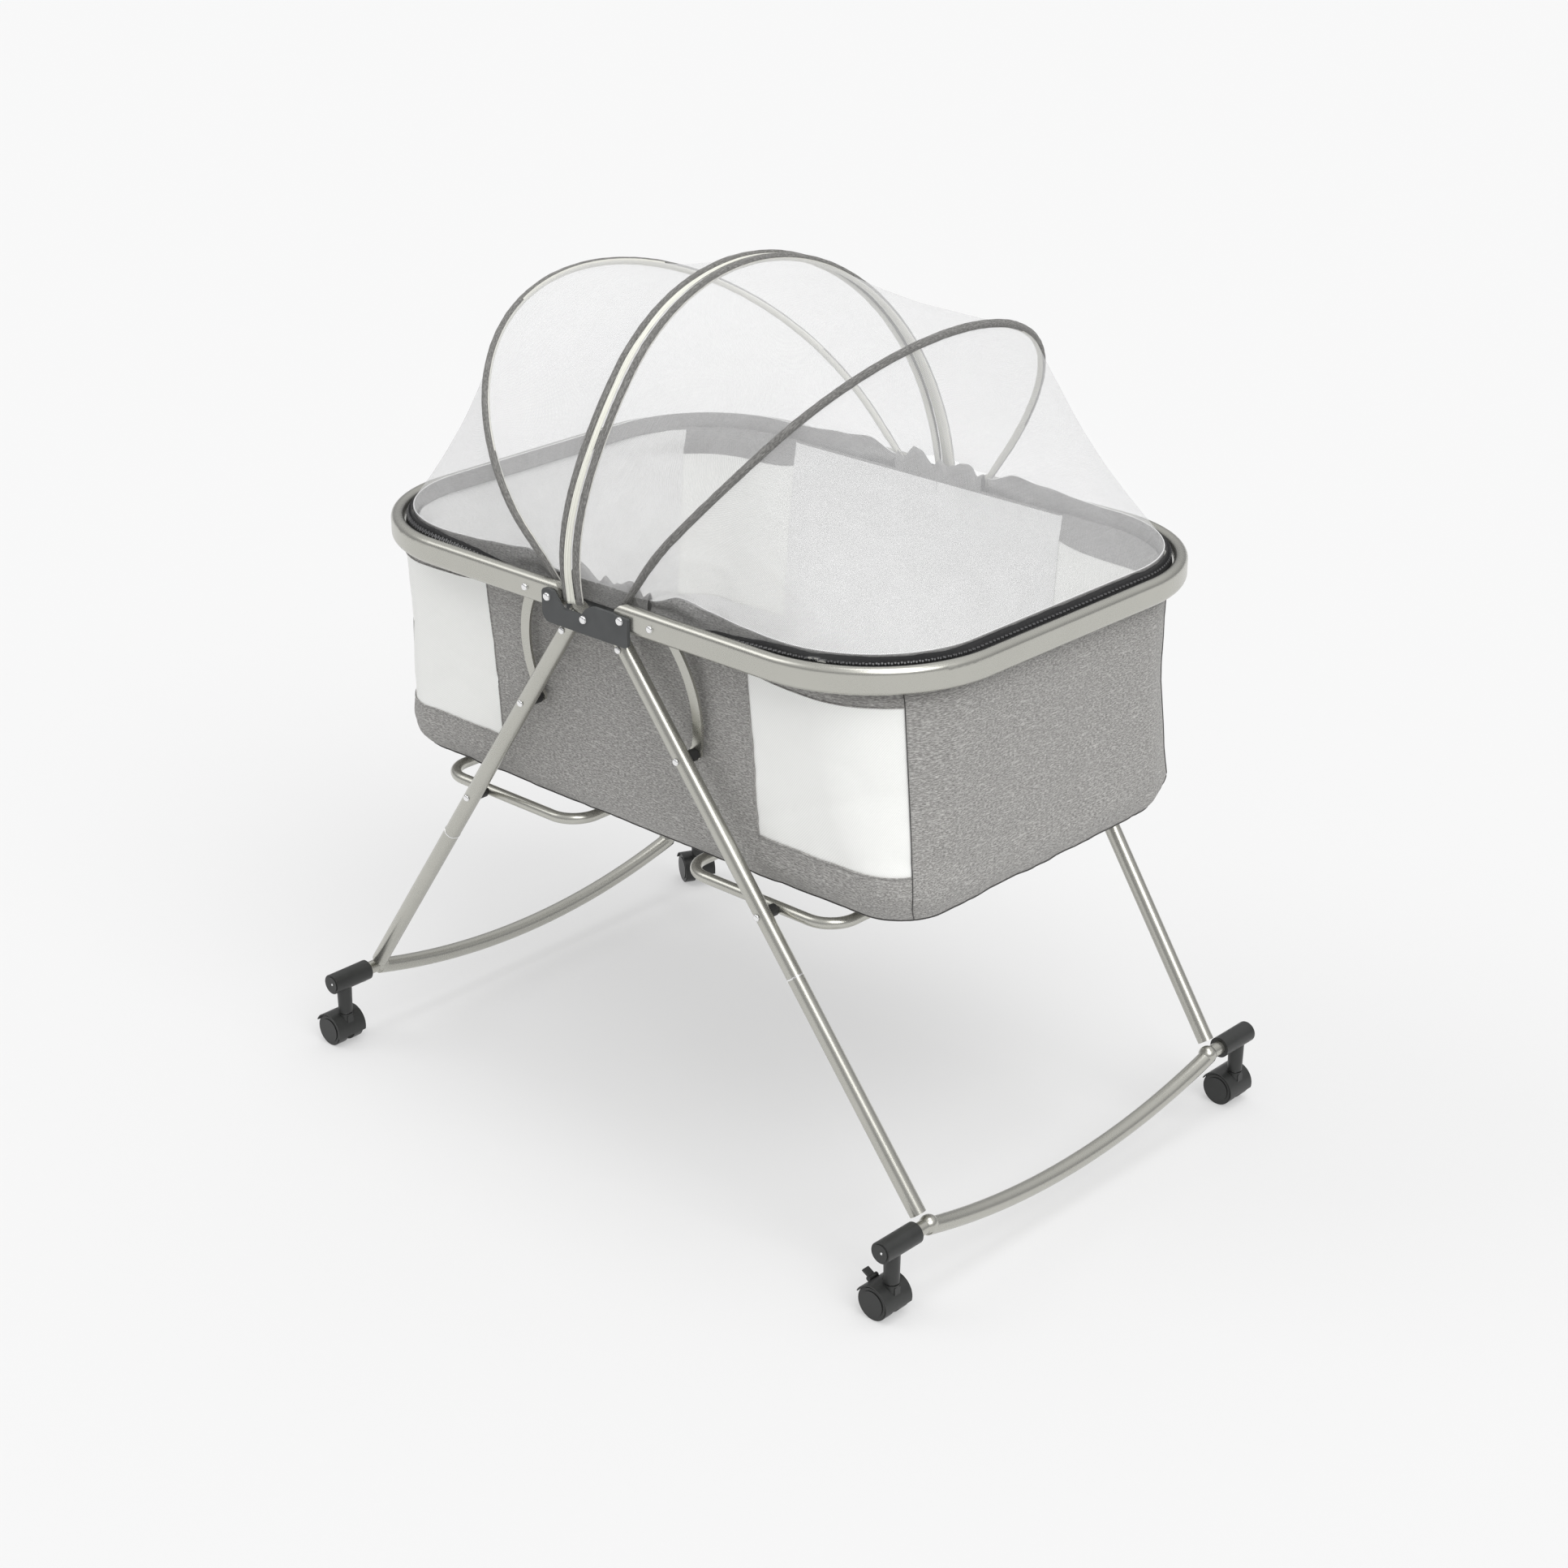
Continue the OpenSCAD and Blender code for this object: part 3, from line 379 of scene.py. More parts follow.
def tube_object(name, path, radius, mat, sides, up=Vector((0, 0, 1)), wobble=0.0, seed=0.0):
    """A tube along a path, closed at its ends; wobble roughens it, as on a sewn edge."""
    verts, uvs, faces = [], [], []
    n = len(path)
    run = running_length(path)
    for i, p in enumerate(path):
        t = (path[min(i + 1, n - 1)] - path[max(i - 1, 0)]).normalized()
        side = t.cross(up)
        if side.length < 1e-4:
            side = t.cross(Vector((1, 0, 0)))
        side.normalize()
        top = side.cross(t).normalized()
        r = radius(i / (n - 1)) if callable(radius) else radius
        for k in range(sides):
            q = 2 * math.pi * k / sides
            w = 1.0
            if wobble:
                w += wobble * noise.noise(Vector((run[i] * 90 + seed, math.cos(q) * 1.3, math.sin(q) * 1.3)))
            verts.append(p + side * (math.cos(q) * r * w) + top * (math.sin(q) * r * w))
            uvs.append((run[i], q * r))
    for i in range(n - 1):
        for k in range(sides):
            a, b = i * sides + k, i * sides + (k + 1) % sides
            faces.append((a, b, b + sides, a + sides))
    faces.append(tuple(range(sides))[::-1])
    faces.append(tuple((n - 1) * sides + k for k in range(sides)))
    o = make_object(name, verts, faces, uvs, [mat])
    return o


def thicken(o, t, offset, rim=True):
    """Makes a sheet t thick: behind its face at offset -1, and half to each side at offset 0."""
    skin = o.modifiers.new("thickness", "SOLIDIFY")
    skin.thickness = t
    skin.offset = offset
    skin.use_rim = rim
    return skin


# ---- bag

BAG_TOP, LOW_Z, FLOOR_Z = 688.0, 440.0, 395.8
# rows of height, half length, half width and corner radius of the bag's outer face above its lower turn;
# the corners grow squarer downwards, where the board inside pushes the cloth out
BAG_ROWS = {
    1: ((BAG_TOP, 399.0, 272.0, 144.0), (669.0, 399.0, 270.0, 136.0), (655.0, 399.5, 268.0, 122.0),
        (550.0, 399.0, 258.5, 108.0), (470.0, 399.0, 251.5, 80.0), (LOW_Z, 399.0, 249.0, 66.0)),
    -1: ((BAG_TOP, 399.0, 272.0, 144.0), (669.0, 399.0, 270.0, 132.0), (655.0, 399.5, 268.0, 96.0),
         (550.0, 399.0, 258.5, 84.0), (470.0, 399.0, 251.5, 70.0), (LOW_Z, 399.0, 249.0, 64.0)),
}
# how far the length, the width and the corner radius shrink round the lower turn
TURN_A, TURN_B, TURN_R = 31.0, 44.0, 4.0
# how far round the lower turn the piping runs, in degrees
EDGE_TURN = 52.0
WIN_TOP, WIN_LOW = 650.0, 461.0
LINING_TOP = 685.0
# where the seam lies round the corner: its angle at the lowest radius, less for a larger one
SEAM_LOW_ANGLE, SEAM_LOW_R, SEAM_SLOPE = 55.8, 66.0, 0.071
# the halves lap this far past the middle, so that no line opens between them
MID_LAP = 0.5
# where each window starts, from the middle of the bag: {(side, end of y): x}
WIN_X = {(1, -1): 196.0, (-1, -1): 202.0, (1, 1): 188.0, (-1, 1): 226.0}
# how many columns of points each stretch has
N_MID, N_SIDE, N_CORNER, N_SEAM, N_END = 34, 14, 14, 9, 22
WIN_COL = N_MID
SEAM_COL = N_MID + N_SIDE + N_CORNER
FLOOR_COLS = 14
# the most that the cloth may stand proud of the plain outline, and lie inside it
PROUD, SUNK = 1.6, 4.5
# the corner piping stops this many rows above the floor
PIPING_ROWS = 7
HALF_BAG_X = 180.0


def spread(a, b, n, first=True):
    out = [a + (b - a) * i / n for i in range(n + 1)]
    return out if first else out[1:]


def bag_levels():
    """Heights of the rows, each with how far round the lower turn it lies, in degrees, or None above it."""
    upper = (spread(BAG_TOP, LINING_TOP, 3) + spread(LINING_TOP, WIN_TOP, 6, False)
             + spread(WIN_TOP, WIN_LOW, 36, False) + spread(WIN_LOW, LOW_Z, 4, False))
    lower = spread(0, EDGE_TURN, 10, False) + spread(EDGE_TURN, 90, 7, False)
    return ([(z, None) for z in upper]
            + [(LOW_Z - (LOW_Z - FLOOR_Z) * math.sin(math.radians(q)), q) for q in lower])


LEVELS = bag_levels()


def row_at(z):
    """The number of the first row at a height or below it."""
    return next(j for j, (level, q) in enumerate(LEVELS) if level <= z + 0.01)


TOP_ROW, LOW_ROW, LINING_ROW = row_at(WIN_TOP), row_at(WIN_LOW), row_at(LINING_TOP)
EDGE_ROW = next(j for j, (z, q) in enumerate(LEVELS) if q is not None and q >= EDGE_TURN - 0.01)


def columns(side):
    """Columns from the front middle of the bag, past one end, to the back middle.

    Each is a stretch, how far along it, and the side in y. The corner stretch stops at its seam, where
    the seam stretch starts."""
    out = []
    for sy in (-1, 1):
        wx = WIN_X[side, sy]
        col = [("panel", v * wx, sy) for v in spread(0, 1, N_MID)]
        col += [("window", (wx, v), sy) for v in spread(0, 1, N_SIDE, False)]
        for kind, n in (("corner", N_CORNER), ("seam", N_SEAM), ("end", N_END)):
            col += [(kind, v, sy) for v in spread(0, 1, n, False)]
        out.append(col)
    return out[0] + out[1][:-1][::-1]


def outline_point(col, a, b, r):
    """Where a column meets an outline of half length a, half width b and corner radius r."""
    kind, v, sy = col
    if kind == "panel":
        return v, sy * b
    if kind == "window":
        return share(v[0], a - r, v[1]), sy * b
    if kind in ("corner", "seam"):
        seam = SEAM_LOW_ANGLE - (r - SEAM_LOW_R) * SEAM_SLOPE
        q = math.radians(v * seam if kind == "corner" else share(seam, 90, v))
        return a - r + r * math.sin(q), sy * (b - r + r * math.cos(q))
    return a, sy * (b - r) * (1 - v)


def bag_section(side, z, q):
    """Half length, half width and corner radius at height z, or q degrees round the lower turn."""
    rows = BAG_ROWS[side]
    if q is not None:
        c = math.cos(math.radians(q))
        _, a, b, r = rows[-1]
        return a - TURN_A * (1 - c), b - TURN_B * (1 - c), r - TURN_R * (1 - c)
    for (z1, a1, b1, r1), (z0, a0, b0, r0) in zip(rows, rows[1:]):
        if z >= z0:
            k = (z - z0) / (z1 - z0)
            return share(a0, a1, k), share(b0, b1, k), share(r0, r1, k)
    return rows[-1][1:]


def wall_shift(x, y, z, q):
    """How far the cloth stands out from the plain outline, and how far it lifts, in mm."""
    high = clamp((z - LOW_Z) / (BAG_TOP - LOW_Z))
    low = 1 - high
    # the cloth is held along its top edge, and lies flat behind the legs and the link straps
    held = clamp((BAG_TOP - z) / 40)
    room = 1.0
    if abs(y) > 200:
        room = min(1.0, max(0.35 * ease(abs(x) / 60), (abs(x) - 110) / 80))
    fold = fbm(x * 0.013 + 3, y * 0.013, z * 0.006) * 1.7
    ridge = 1 - abs(noise.noise(Vector((x * 0.010 + 9, y * 0.011, z * 0.017))))
    fan = math.sin(x * 0.07 + y * 0.05) * 0.8 * low ** 4
    sag = 2.2 * math.sin(math.pi * high)
    d = fold * (0.4 + 0.8 * low) - ridge ** 7 * 2.4 * low - sag + fan
    dz = 0.0
    if q is not None:
        k = math.sin(math.radians(q))
        d = d * (1 - 0.5 * k) + fbm(x * 0.03, y * 0.03, 5) * 1.8 * math.sin(math.radians(2 * q))
        ripple = 1.8 * fbm(x * 0.012, y * 0.012, 7.0) + 0.7 * noise.noise(Vector((x * 0.11, y * 0.11, 2.0)))
        dz = ripple * (k * (1 - k) * 3) + 0.6 * k
    return max(-SUNK, min(PROUD, d * held * room)), dz


def strip_rise(side, x, y, z):
    """The strip above each window hangs a little higher at its inner end."""
    over = abs(x) - WIN_X[side, -1 if y < 0 else 1]
    if over <= -1 or abs(y) <= 150:
        return 0.0
    fall = max(0.0, 1 - abs(z - WIN_TOP) / 60)
    return (9.0 * math.exp(-max(over, 0) / 26.0) - 2.0) * fall * (1 if z < BAG_TOP - 12 else 0.4)


def bag_row(side, cols, z, q):
    a, b, r = bag_section(side, z, q)
    base = [outline_point(c, a, b, r) for c in cols]
    last = len(base) - 1
    row = []
    for i, (x, y) in enumerate(base):
        x0, y0 = base[max(i - 1, 0)]
        x1, y1 = base[min(i + 1, last)]
        span = math.hypot(x1 - x0, y1 - y0) or 1
        nx, ny = (y1 - y0) / span, -(x1 - x0) / span
        if i in (0, last):
            nx = 0.0
            x -= MID_LAP
        d, dz = wall_shift(side * x, y, z, q)
        dz += strip_rise(side, x, y, z)
        row.append(at(side * x + side * nx * d, y + ny * d, z + dz))
    return row


def floor_faces(ring, base, us, v_end, verts, uvs):
    """Closes the lowest row with lines of points across it, from the middle of the bag to its end."""
    last = len(ring) - 1
    half = len(ring) // 2
    faces, prev = [], None
    for i in range(half):
        a, b = ring[i], ring[last - i]
        line = [base + i]
        for k in range(1, FLOOR_COLS):
            p = a.lerp(b, k / FLOOR_COLS)
            x, y = (p.x - MID_X) / MM, (p.y - MID_Y) / MM
            verts.append(Vector((p.x, p.y, p.z + (0.5 * fbm(x * 0.02, y * 0.02, 8.0) + 0.3) * MM)))
            uvs.append((us[i], v_end - (a - p).length))
            line.append(len(verts) - 1)
        line.append(base + last - i)
        if prev:
            faces += [(prev[k], prev[k + 1], line[k + 1], line[k]) for k in range(FLOOR_COLS)]
        prev = line
    return faces + [(prev[k], prev[k + 1], base + half) for k in range(FLOOR_COLS)]


def bag_shell(side, rows):
    """The walls with their window openings, and the floor."""
    n = len(rows[0])
    last = n - 1
    verts = [p for r in rows for p in r]
    us = running_length(rows[len(rows) // 2])
    vs = running_length([r[n // 2] for r in rows])
    uvs = [(side * u, -v) for v in vs for u in us]
    faces, kinds = [], []
    for j in range(len(rows) - 1):
        for i in range(last):
            window = WIN_COL <= i < SEAM_COL or last - SEAM_COL <= i < last - WIN_COL
            if window and TOP_ROW <= j < LOW_ROW:
                continue
            faces.append((j * n + i, (j + 1) * n + i, (j + 1) * n + i + 1, j * n + i + 1))
            grey_inside = j < LINING_ROW or (window and j < TOP_ROW)
            kinds.append(2 if grey_inside else 0)
    floor = floor_faces(rows[-1], (len(rows) - 1) * n, us, -vs[-1], verts, uvs)
    faces += floor
    kinds += [0] * len(floor)
    if side < 0:
        faces = [f[::-1] for f in faces]
    used = sorted({v for f in faces for v in f})
    new = {v: k for k, v in enumerate(used)}
    # the inner face of the cloth takes the material after the outer face's: lining, or grey at the top
    mats = [MAT["bag_fabric"], MAT["lining"], MAT["bag_fabric"], MAT["hem_band"]]
    shell = make_object("bag_shell_" + WORD[side], [verts[v] for v in used],
                        [tuple(new[v] for v in f) for f in faces], [uvs[v] for v in used], mats, kinds)
    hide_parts("bag_" + WORD[side])
    return shell


def outwards(side, p, mm):
    """The point moved level, away from the middle of its half of the bag."""
    middle = at(side * HALF_BAG_X, 0, 0)
    return p + Vector((p.x - middle.x, p.y - middle.y, 0)).normalized() * mm * MM


def bag_window(side, rows, tag):
    """A window that laps under its opening's edges, the corner seam beside it and the opening's hems."""
    last = len(rows[0]) - 1
    inner, seam = (WIN_COL, SEAM_COL) if tag == "front" else (last - WIN_COL, last - SEAM_COL)
    lo, hi = min(inner, seam), max(inner, seam)
    block = [[outwards(side, p, -1.0) for p in r[lo - 1:hi + 2]] for r in rows[TOP_ROW - 1:LOW_ROW + 2]]
    window = grid_object("window_%s_%s" % (tag, WORD[side]), block, MAT["window_mesh"])
    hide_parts("windows_" + WORD[side])
    path = [outwards(side, r[seam], 0.5) for r in rows[:-PIPING_ROWS]]
    pieces = [window, tube_object("corner_piping_%s_%s" % (tag, WORD[side]), path, 0.6 * MM, MAT["piping"],
                                  8, wobble=0.3, seed=seam)]
    for part, line in (("top", rows[TOP_ROW][lo:hi + 1]), ("low", rows[LOW_ROW][lo:hi + 1]),
                       ("side", [r[inner] for r in rows[TOP_ROW:LOW_ROW + 1]])):
        pieces.append(tube_object("window_hem_%s_%s_%s" % (tag, part, WORD[side]),
                                  [outwards(side, p, 0.1) for p in line], 0.9 * MM, MAT["bag_fabric"],
                                  8, wobble=0.25, seed=lo))
    return pieces


def bag(side):
    cols = columns(side)
    rows = [bag_row(side, cols, z, q) for z, q in LEVELS]
    shell = bag_shell(side, rows)
    pieces = [shell] + bag_window(side, rows, "front") + bag_window(side, rows, "back")
    edge = [outwards(side, p, 0.2) + Vector((0, 0, -0.4 * MM)) for p in rows[EDGE_ROW]]
    pieces.append(tube_object("bottom_piping_" + WORD[side], edge, 0.9 * MM, MAT["piping"], 8,
                              wobble=0.35, seed=5))
    skin = thicken(shell, 1.5 * MM, -1.0, rim=False)
    skin.material_offset = 1
    # the fabric hangs from its half of the rim
    for o in pieces:
        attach(o, "rim_" + TAG[side])
        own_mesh(o)


for s in (1, -1):
    bag(s)

# ---- hoops and rim outline

# how far each hoop leans outwards, in degrees, and how long its straight legs are
HOOPS = {
    1: {"outer": (33.8, 58.0), "inner": (-10.2, 23.0)},
    -1: {"outer": (44.9, 79.0), "inner": (10.2, 23.0)},
}
HOOP_HALF = {"outer": 285.4, "inner": 288.0}
HOOP_FOOT_X = {"outer": 55.3, "inner": 10.0}
HOOP_FOOT_Z = {"outer": 684.0, "inner": 687.0}
# below FRONT_PULL_H the soft hoops are drawn together towards the front bracket
FRONT_PULL_H = 230.0
FRONT_PULL_X = {("outer", 1): 22.0, ("outer", -1): 0.0, ("inner", 1): 26.0, ("inner", -1): 26.0}
OUTER_PULL_Y = {1: 8.0, -1: 4.0}
INNER_PULL_Y = 11.0
# the outer hoops' pull outwards starts clear of the bracket, and is full this much higher
OUTER_PULL_START, OUTER_PULL_RISE = 32.0, 90.0

RIM_HALF_L, RIM_HALF_W, RIM_CORNER = 420.0, 305.0, 166.0
RIM_MID_Z = 684.0


def hoop_length(side, which):
    return 2 * HOOPS[side][which][1] + math.pi * HOOP_HALF[which]


def hoop_point(side, which, s, push=0.0, out=0.0):
    """Point at share s of a hoop's length; push moves it along the hoop's normal, out from its middle."""
    lean, leg = HOOPS[side][which]
    end = -1 if s < 0.5 else 1
    from_foot = min(s, 1 - s) * hoop_length(side, which)
    q = max(0.0, (from_foot - leg) / HOOP_HALF[which])
    y = end * math.cos(q) * (HOOP_HALF[which] + out)
    u = min(from_foot, leg) + math.sin(q) * (HOOP_HALF[which] + out)
    a = math.radians(lean)
    x = side * (HOOP_FOOT_X[which] + u * math.sin(a) + push * math.cos(a))
    if y < 0:
        pull = 1 - ease(u / FRONT_PULL_H)
        x -= FRONT_PULL_X[which, side] * pull
        if which == "inner":
            y -= INNER_PULL_Y * pull
        else:
            y -= OUTER_PULL_Y[side] * pull * ease((u - OUTER_PULL_START) / OUTER_PULL_RISE)
    return at(x, y, HOOP_FOOT_Z[which] + u * math.cos(a) - push * math.sin(a))


def rim_path(side, inset, z, x0, n):
    """Points along one half of the rim's outline, set in, from x0 at the front to x0 at the back."""
    a, b, r = RIM_HALF_L - inset, RIM_HALF_W - inset, RIM_CORNER - inset
    side_run, corner_run, end_run = a - r - x0, r * math.pi / 2, b - r
    out = []
    for i in range(n + 1):
        d = min(i, n - i) / n * 2 * (side_run + corner_run + end_run)
        if d <= side_run:
            x, y = x0 + d, b
        elif d <= side_run + corner_run:
            q = (d - side_run) / r
            x, y = a - r + r * math.sin(q), b - r + r * math.cos(q)
        else:
            x, y = a, b - r - (d - side_run - corner_run)
        out.append(at(side * x, -y if 2 * i < n else y, z(i / n)))
    return out


# half of the rim's outline along the zipper, from the front middle to the back middle
ZIPPER_INSET = 20.0
HALF_RIM_RUN = (2 * (RIM_HALF_L - RIM_CORNER) + math.pi * (RIM_CORNER - ZIPPER_INSET)
                + 2 * (RIM_HALF_W - RIM_CORNER))


def from_middle(k, x0):
    """About how far along the rim share k of a path lies from the nearer middle, if it starts at x0."""
    return x0 + min(k, 1 - k) * HALF_RIM_RUN


# ---- canopy nets and sleeves

# height of the hem band's top near the bracket and far from it, and how much lower it starts
HEM_NEAR, HEM_FAR, HEM_START_DROP = 716.0, 705.0, 14.0
HEM_INSET = 25.5
NET_X0, BAND_X0 = 74.0, 70.0
NET_COLS, NET_ROWS = 150, 26
# the nets start this far up the hoops, and meet them this far from their middle line
NET_START, NET_EDGE = 24.0, 2.5
SLEEVE_R, SLEEVE_FOOT_R = 4.5, 3.7
# where the sleeves start, in mm up each hoop, over one mean length of the hoops' arcs
SLEEVE_START = {"outer": 9.0, "inner": -5.0}
MEAN_HOOP_HALF = 287.0
SLEEVE_SIDES, SLEEVE_STEPS = 16, 240
# faces turned this far to the canopy's middle are of the pale inner cloth
INNER_CLOTH_DOT = 0.3


def hem_top(k, x0):
    """Height of the hem band's top: a small wave near the bracket, and lower where it starts."""
    d = from_middle(k, x0)
    wave = 0.5 * math.sin(d * 0.11) * (1 - ease((d - 150) / 150))
    start = HEM_START_DROP * (1 - ease((d - 72) / 46))
    return share(HEM_NEAR, HEM_FAR, ease((d - 80) / 200)) + wave - start


def net_piece(name, node, side, a_row, b_row, slack):
    """A net stretched between two edges; it hollows a little towards the middle of the canopy."""
    n = len(a_row)
    core = at(side * 120, 0, 640)
    grid = []
    for j in range(NET_ROWS + 1):
        v = j / NET_ROWS
        line = []
        for i in range(n):
            p = a_row[i].lerp(b_row[i], v)
            dip = slack * (a_row[i] - b_row[i]).length * 4 * v * (1 - v)
            ripple = 0.0016 * fbm(i / (n - 1) * 16, v * 2.2, side * 3) * min(1, 6 * v * (1 - v))
            line.append(p + (core - p).normalized() * (dip + ripple))
        grid.append(line)
    o = grid_object(name, grid, MAT["canopy_net"])
    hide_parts(node)
    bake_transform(o)
    return o


def nets(side):
    t, word = TAG[side], WORD[side]

    def hoop_row(which, push):
        f = NET_START / hoop_length(side, which)
        return sample(lambda k: hoop_point(side, which, f + (1 - 2 * f) * k, push, -1.0), NET_COLS)

    hem_line = rim_path(side, HEM_INSET, lambda k: hem_top(k, NET_X0), NET_X0, NET_COLS)
    end = net_piece("end_net_" + word, "net_end_" + word, side, hem_line, hoop_row("outer", NET_EDGE), 0.035)
    inner = hoop_row("inner", NET_EDGE)
    middle = net_piece("side_net_" + word, "net_side_" + word, side, hoop_row("outer", -NET_EDGE), inner,
                       0.03)


def sleeve_radius(k):
    """Slimmer at the feet, where the hoop passes the rim."""
    return share(SLEEVE_FOOT_R, SLEEVE_R, ease(min(k, 1 - k) * 1000 / 60)) * MM


def sleeve(side, which):
    """The cloth round a hoop: grey outside, pale on the face towards the middle of the canopy."""
    f = SLEEVE_START[which] / (2 * HOOPS[side][which][1] + math.pi * MEAN_HOOP_HALF)
    path = sample(lambda k: hoop_point(side, which, f + (1 - 2 * f) * k), SLEEVE_STEPS)
    o = tube_object("sleeve_%s_%s" % (which, WORD[side]), path, sleeve_radius, MAT["hoop_sleeve"],
                    SLEEVE_SIDES, up=Vector((1, 0, 0)), wobble=0.09,
                    seed=side * 7 + len(which))
    o.data.materials.append(MAT["sleeve_inner"])
    core = at(side * 40, 0, 740)
    for poly in o.data.polygons:
        i = min(poly.index // SLEEVE_SIDES, len(path) - 2)
        mid = (path[i] + path[i + 1]) / 2
        if (poly.center - mid).normalized().dot((core - mid).normalized()) > INNER_CLOTH_DOT:
            poly.material_index = 1
    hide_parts("hoop_%s_%s" % (which, WORD[side]))
    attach(o, "canopy_%s_%s" % (which, TAG[side]))


for s in (1, -1):
    nets(s)
    sleeve(s, "outer")
    sleeve(s, "inner")

# half width of the strip, how much that widens at the ends, and where on the hoops the strip starts
STRIP_HALF, STRIP_FLARE, STRIP_START = 5.0, 1.6, -4.0
STRIP_COLS, STRIP_STEPS = 16, 260


def satin_strip():
    """The cream strip between the two middle hoops, with long soft folds."""
    f = STRIP_START / hoop_length(1, "inner")
    middle = -HOOP_FOOT_X["inner"]

    def strip_point(k, w):
        end = 1 - ease(min(k, 1 - k) * 14)
        phase = 5.0 * noise.noise(Vector((k * 9, 0.5, 1.0)))
        fold = 0.8 * math.sin(8.5 * w + phase) + 0.4 * math.sin(17 * w - 2 * phase)
        lift = 2.6 + 0.9 * w * w + fold * (1 - 0.4 * w * w)
        push = middle + w * (STRIP_HALF + STRIP_FLARE * end)
        return hoop_point(1, "inner", f + (1 - 2 * f) * k, push, lift)

    rows = []
    for j in range(STRIP_COLS + 1):
        w = j / STRIP_COLS * 2 - 1
        rows.append(sample(lambda k: strip_point(k, w), STRIP_STEPS))
    o = grid_object("satin_strip", rows, MAT["strip_satin"])
    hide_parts("net_strip")
    thicken(o, 0.7 * MM, -1.0)
    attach(o, "canopy_inner_r")


satin_strip()

# ---- zipper and hem band

TAPE_NEAR, TAPE_FAR = 688.5, 703.5
TAPE_X0, TAPE_STEPS = 92.0, 220
# the tape's section: share of its height, and inset from the rim's outline
TAPE_SECTION = ((0.0, 17.0), (0.25, 17.6), (0.5, 19.6), (0.75, 22.6), (1.0, 23.6))
TEETH_X0, TEETH_INSET, TEETH_HEIGHT = 128.0, 19.6, 0.66
TEETH_PITCH = 3.2 * MM
# half of a tooth's size along the zipper, across it and out of it, and its taper
TOOTH = (1.05 * MM, 2.0 * MM, 0.9 * MM)
TOOTH_TAPER = 0.75
BOX_FACES = ((0, 1, 3, 2), (4, 6, 7, 5), (0, 4, 5, 1), (2, 3, 7, 6), (0, 2, 6, 4), (1, 5, 7, 3))
BAND_ROWS, BAND_STEPS = 10, 260


def tape_top(k, x0):
    return share(TAPE_NEAR, TAPE_FAR, ease((from_middle(k, x0) - 95) / 230))


def tape_height(k, x0, v):
    return share(RIM_MID_Z, tape_top(k, x0), v)


def zipper_tape(side):
    rows = []
    for v, inset in TAPE_SECTION:
        base = rim_path(side, inset, lambda k: tape_height(k, TAPE_X0, v), TAPE_X0, TAPE_STEPS)
        rows.append([p + Vector((0, 0, share(0.0005, 0.0016, v) * fbm(p.x * 24, p.y * 24, v * 2)))
                     for p in base])
    o = grid_object("zipper_tape_" + WORD[side], rows, MAT["zipper_tape"])
    thicken(o, 0.8 * MM, 0.0)
    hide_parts("zipper_" + WORD[side])
    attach(o, "rim_" + TAG[side])


def zipper_teeth(side):
    """Small tapered boxes along the tape, set by turns a little up and a little down."""
    line = rim_path(side, TEETH_INSET, lambda k: tape_height(k, TEETH_X0, TEETH_HEIGHT), TEETH_X0, 900)
    run = running_length(line)
    verts, faces = [], []
    want, count = 0.0, 0
    for i in range(1, len(line) - 1):
        if run[i] < want:
            continue
        want += TEETH_PITCH
        count += 1
        along = (line[i + 1] - line[i - 1]).normalized()
        across = Vector((along.y, -along.x, 0)) * 0.62 + Vector((0, 0, 0.78))
        normal = along.cross(across).normalized()
        centre = line[i] + across * (0.6 * MM * (1 if count % 2 else -1))
        first = len(verts)
        for corner in range(8):
            sx, sy, sz = (1 if corner & bit else -1 for bit in (4, 2, 1))
            taper = TOOTH_TAPER if sz > 0 else 1.0
            verts.append(centre + along * (sx * TOOTH[0] * taper) + across * (sy * TOOTH[1] * taper)
                         + normal * (sz * TOOTH[2]))
        faces += [tuple(first + v for v in face) for face in BOX_FACES]
    o = make_object("zipper_teeth_" + WORD[side], verts, faces, None, [MAT["zipper_teeth"]], smooth=False)
    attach(o, "rim_" + TAG[side])


def hem_band(side):
    """The grey band inside the tape, fuller and creased near the middle, and its pale binding."""
    middle = at(side * 150, 0, 0)
    rows = []
    for j in range(BAND_ROWS + 1):
        v = j / BAND_ROWS
        base = rim_path(side, HEM_INSET + 0.5, lambda k: share(RIM_MID_Z, hem_top(k, BAND_X0), v), BAND_X0,
                        BAND_STEPS)
        line = []
        for i, p in enumerate(base):
            d = from_middle(i / BAND_STEPS, BAND_X0)
            near = 1 - ease((d - 70) / 170)
            way = Vector((middle.x - p.x, middle.y - p.y, 0)).normalized()
            wave = fbm(p.x * 26, p.y * 26, v * 1.6 + side) * (0.5 + 2.6 * near)
            fold = 1.4 * near * math.sin(v * 7 + d * 0.05)
            line.append(p + way * ((0.6 + max(0.0, wave * 0.7 + fold + 1.2 * near)) * MM))
        rows.append(line)
    o = grid_object("hem_band_" + WORD[side], rows, MAT["hem_band"])
    thicken(o, 0.9 * MM, 0.0)
    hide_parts("hem_" + WORD[side])
    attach(o, "rim_" + TAG[side])
    top = [p + Vector((0, 0, 0.3 * MM)) for p in rows[-1]]
    binding = tube_object("hem_binding_" + WORD[side], top, 0.5 * MM, MAT["lining"], 6,
                          wobble=0.3, seed=2)
    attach(binding, "rim_" + TAG[side])


for s in (1, -1):
    zipper_tape(s)
    zipper_teeth(s)
    hem_band(s)

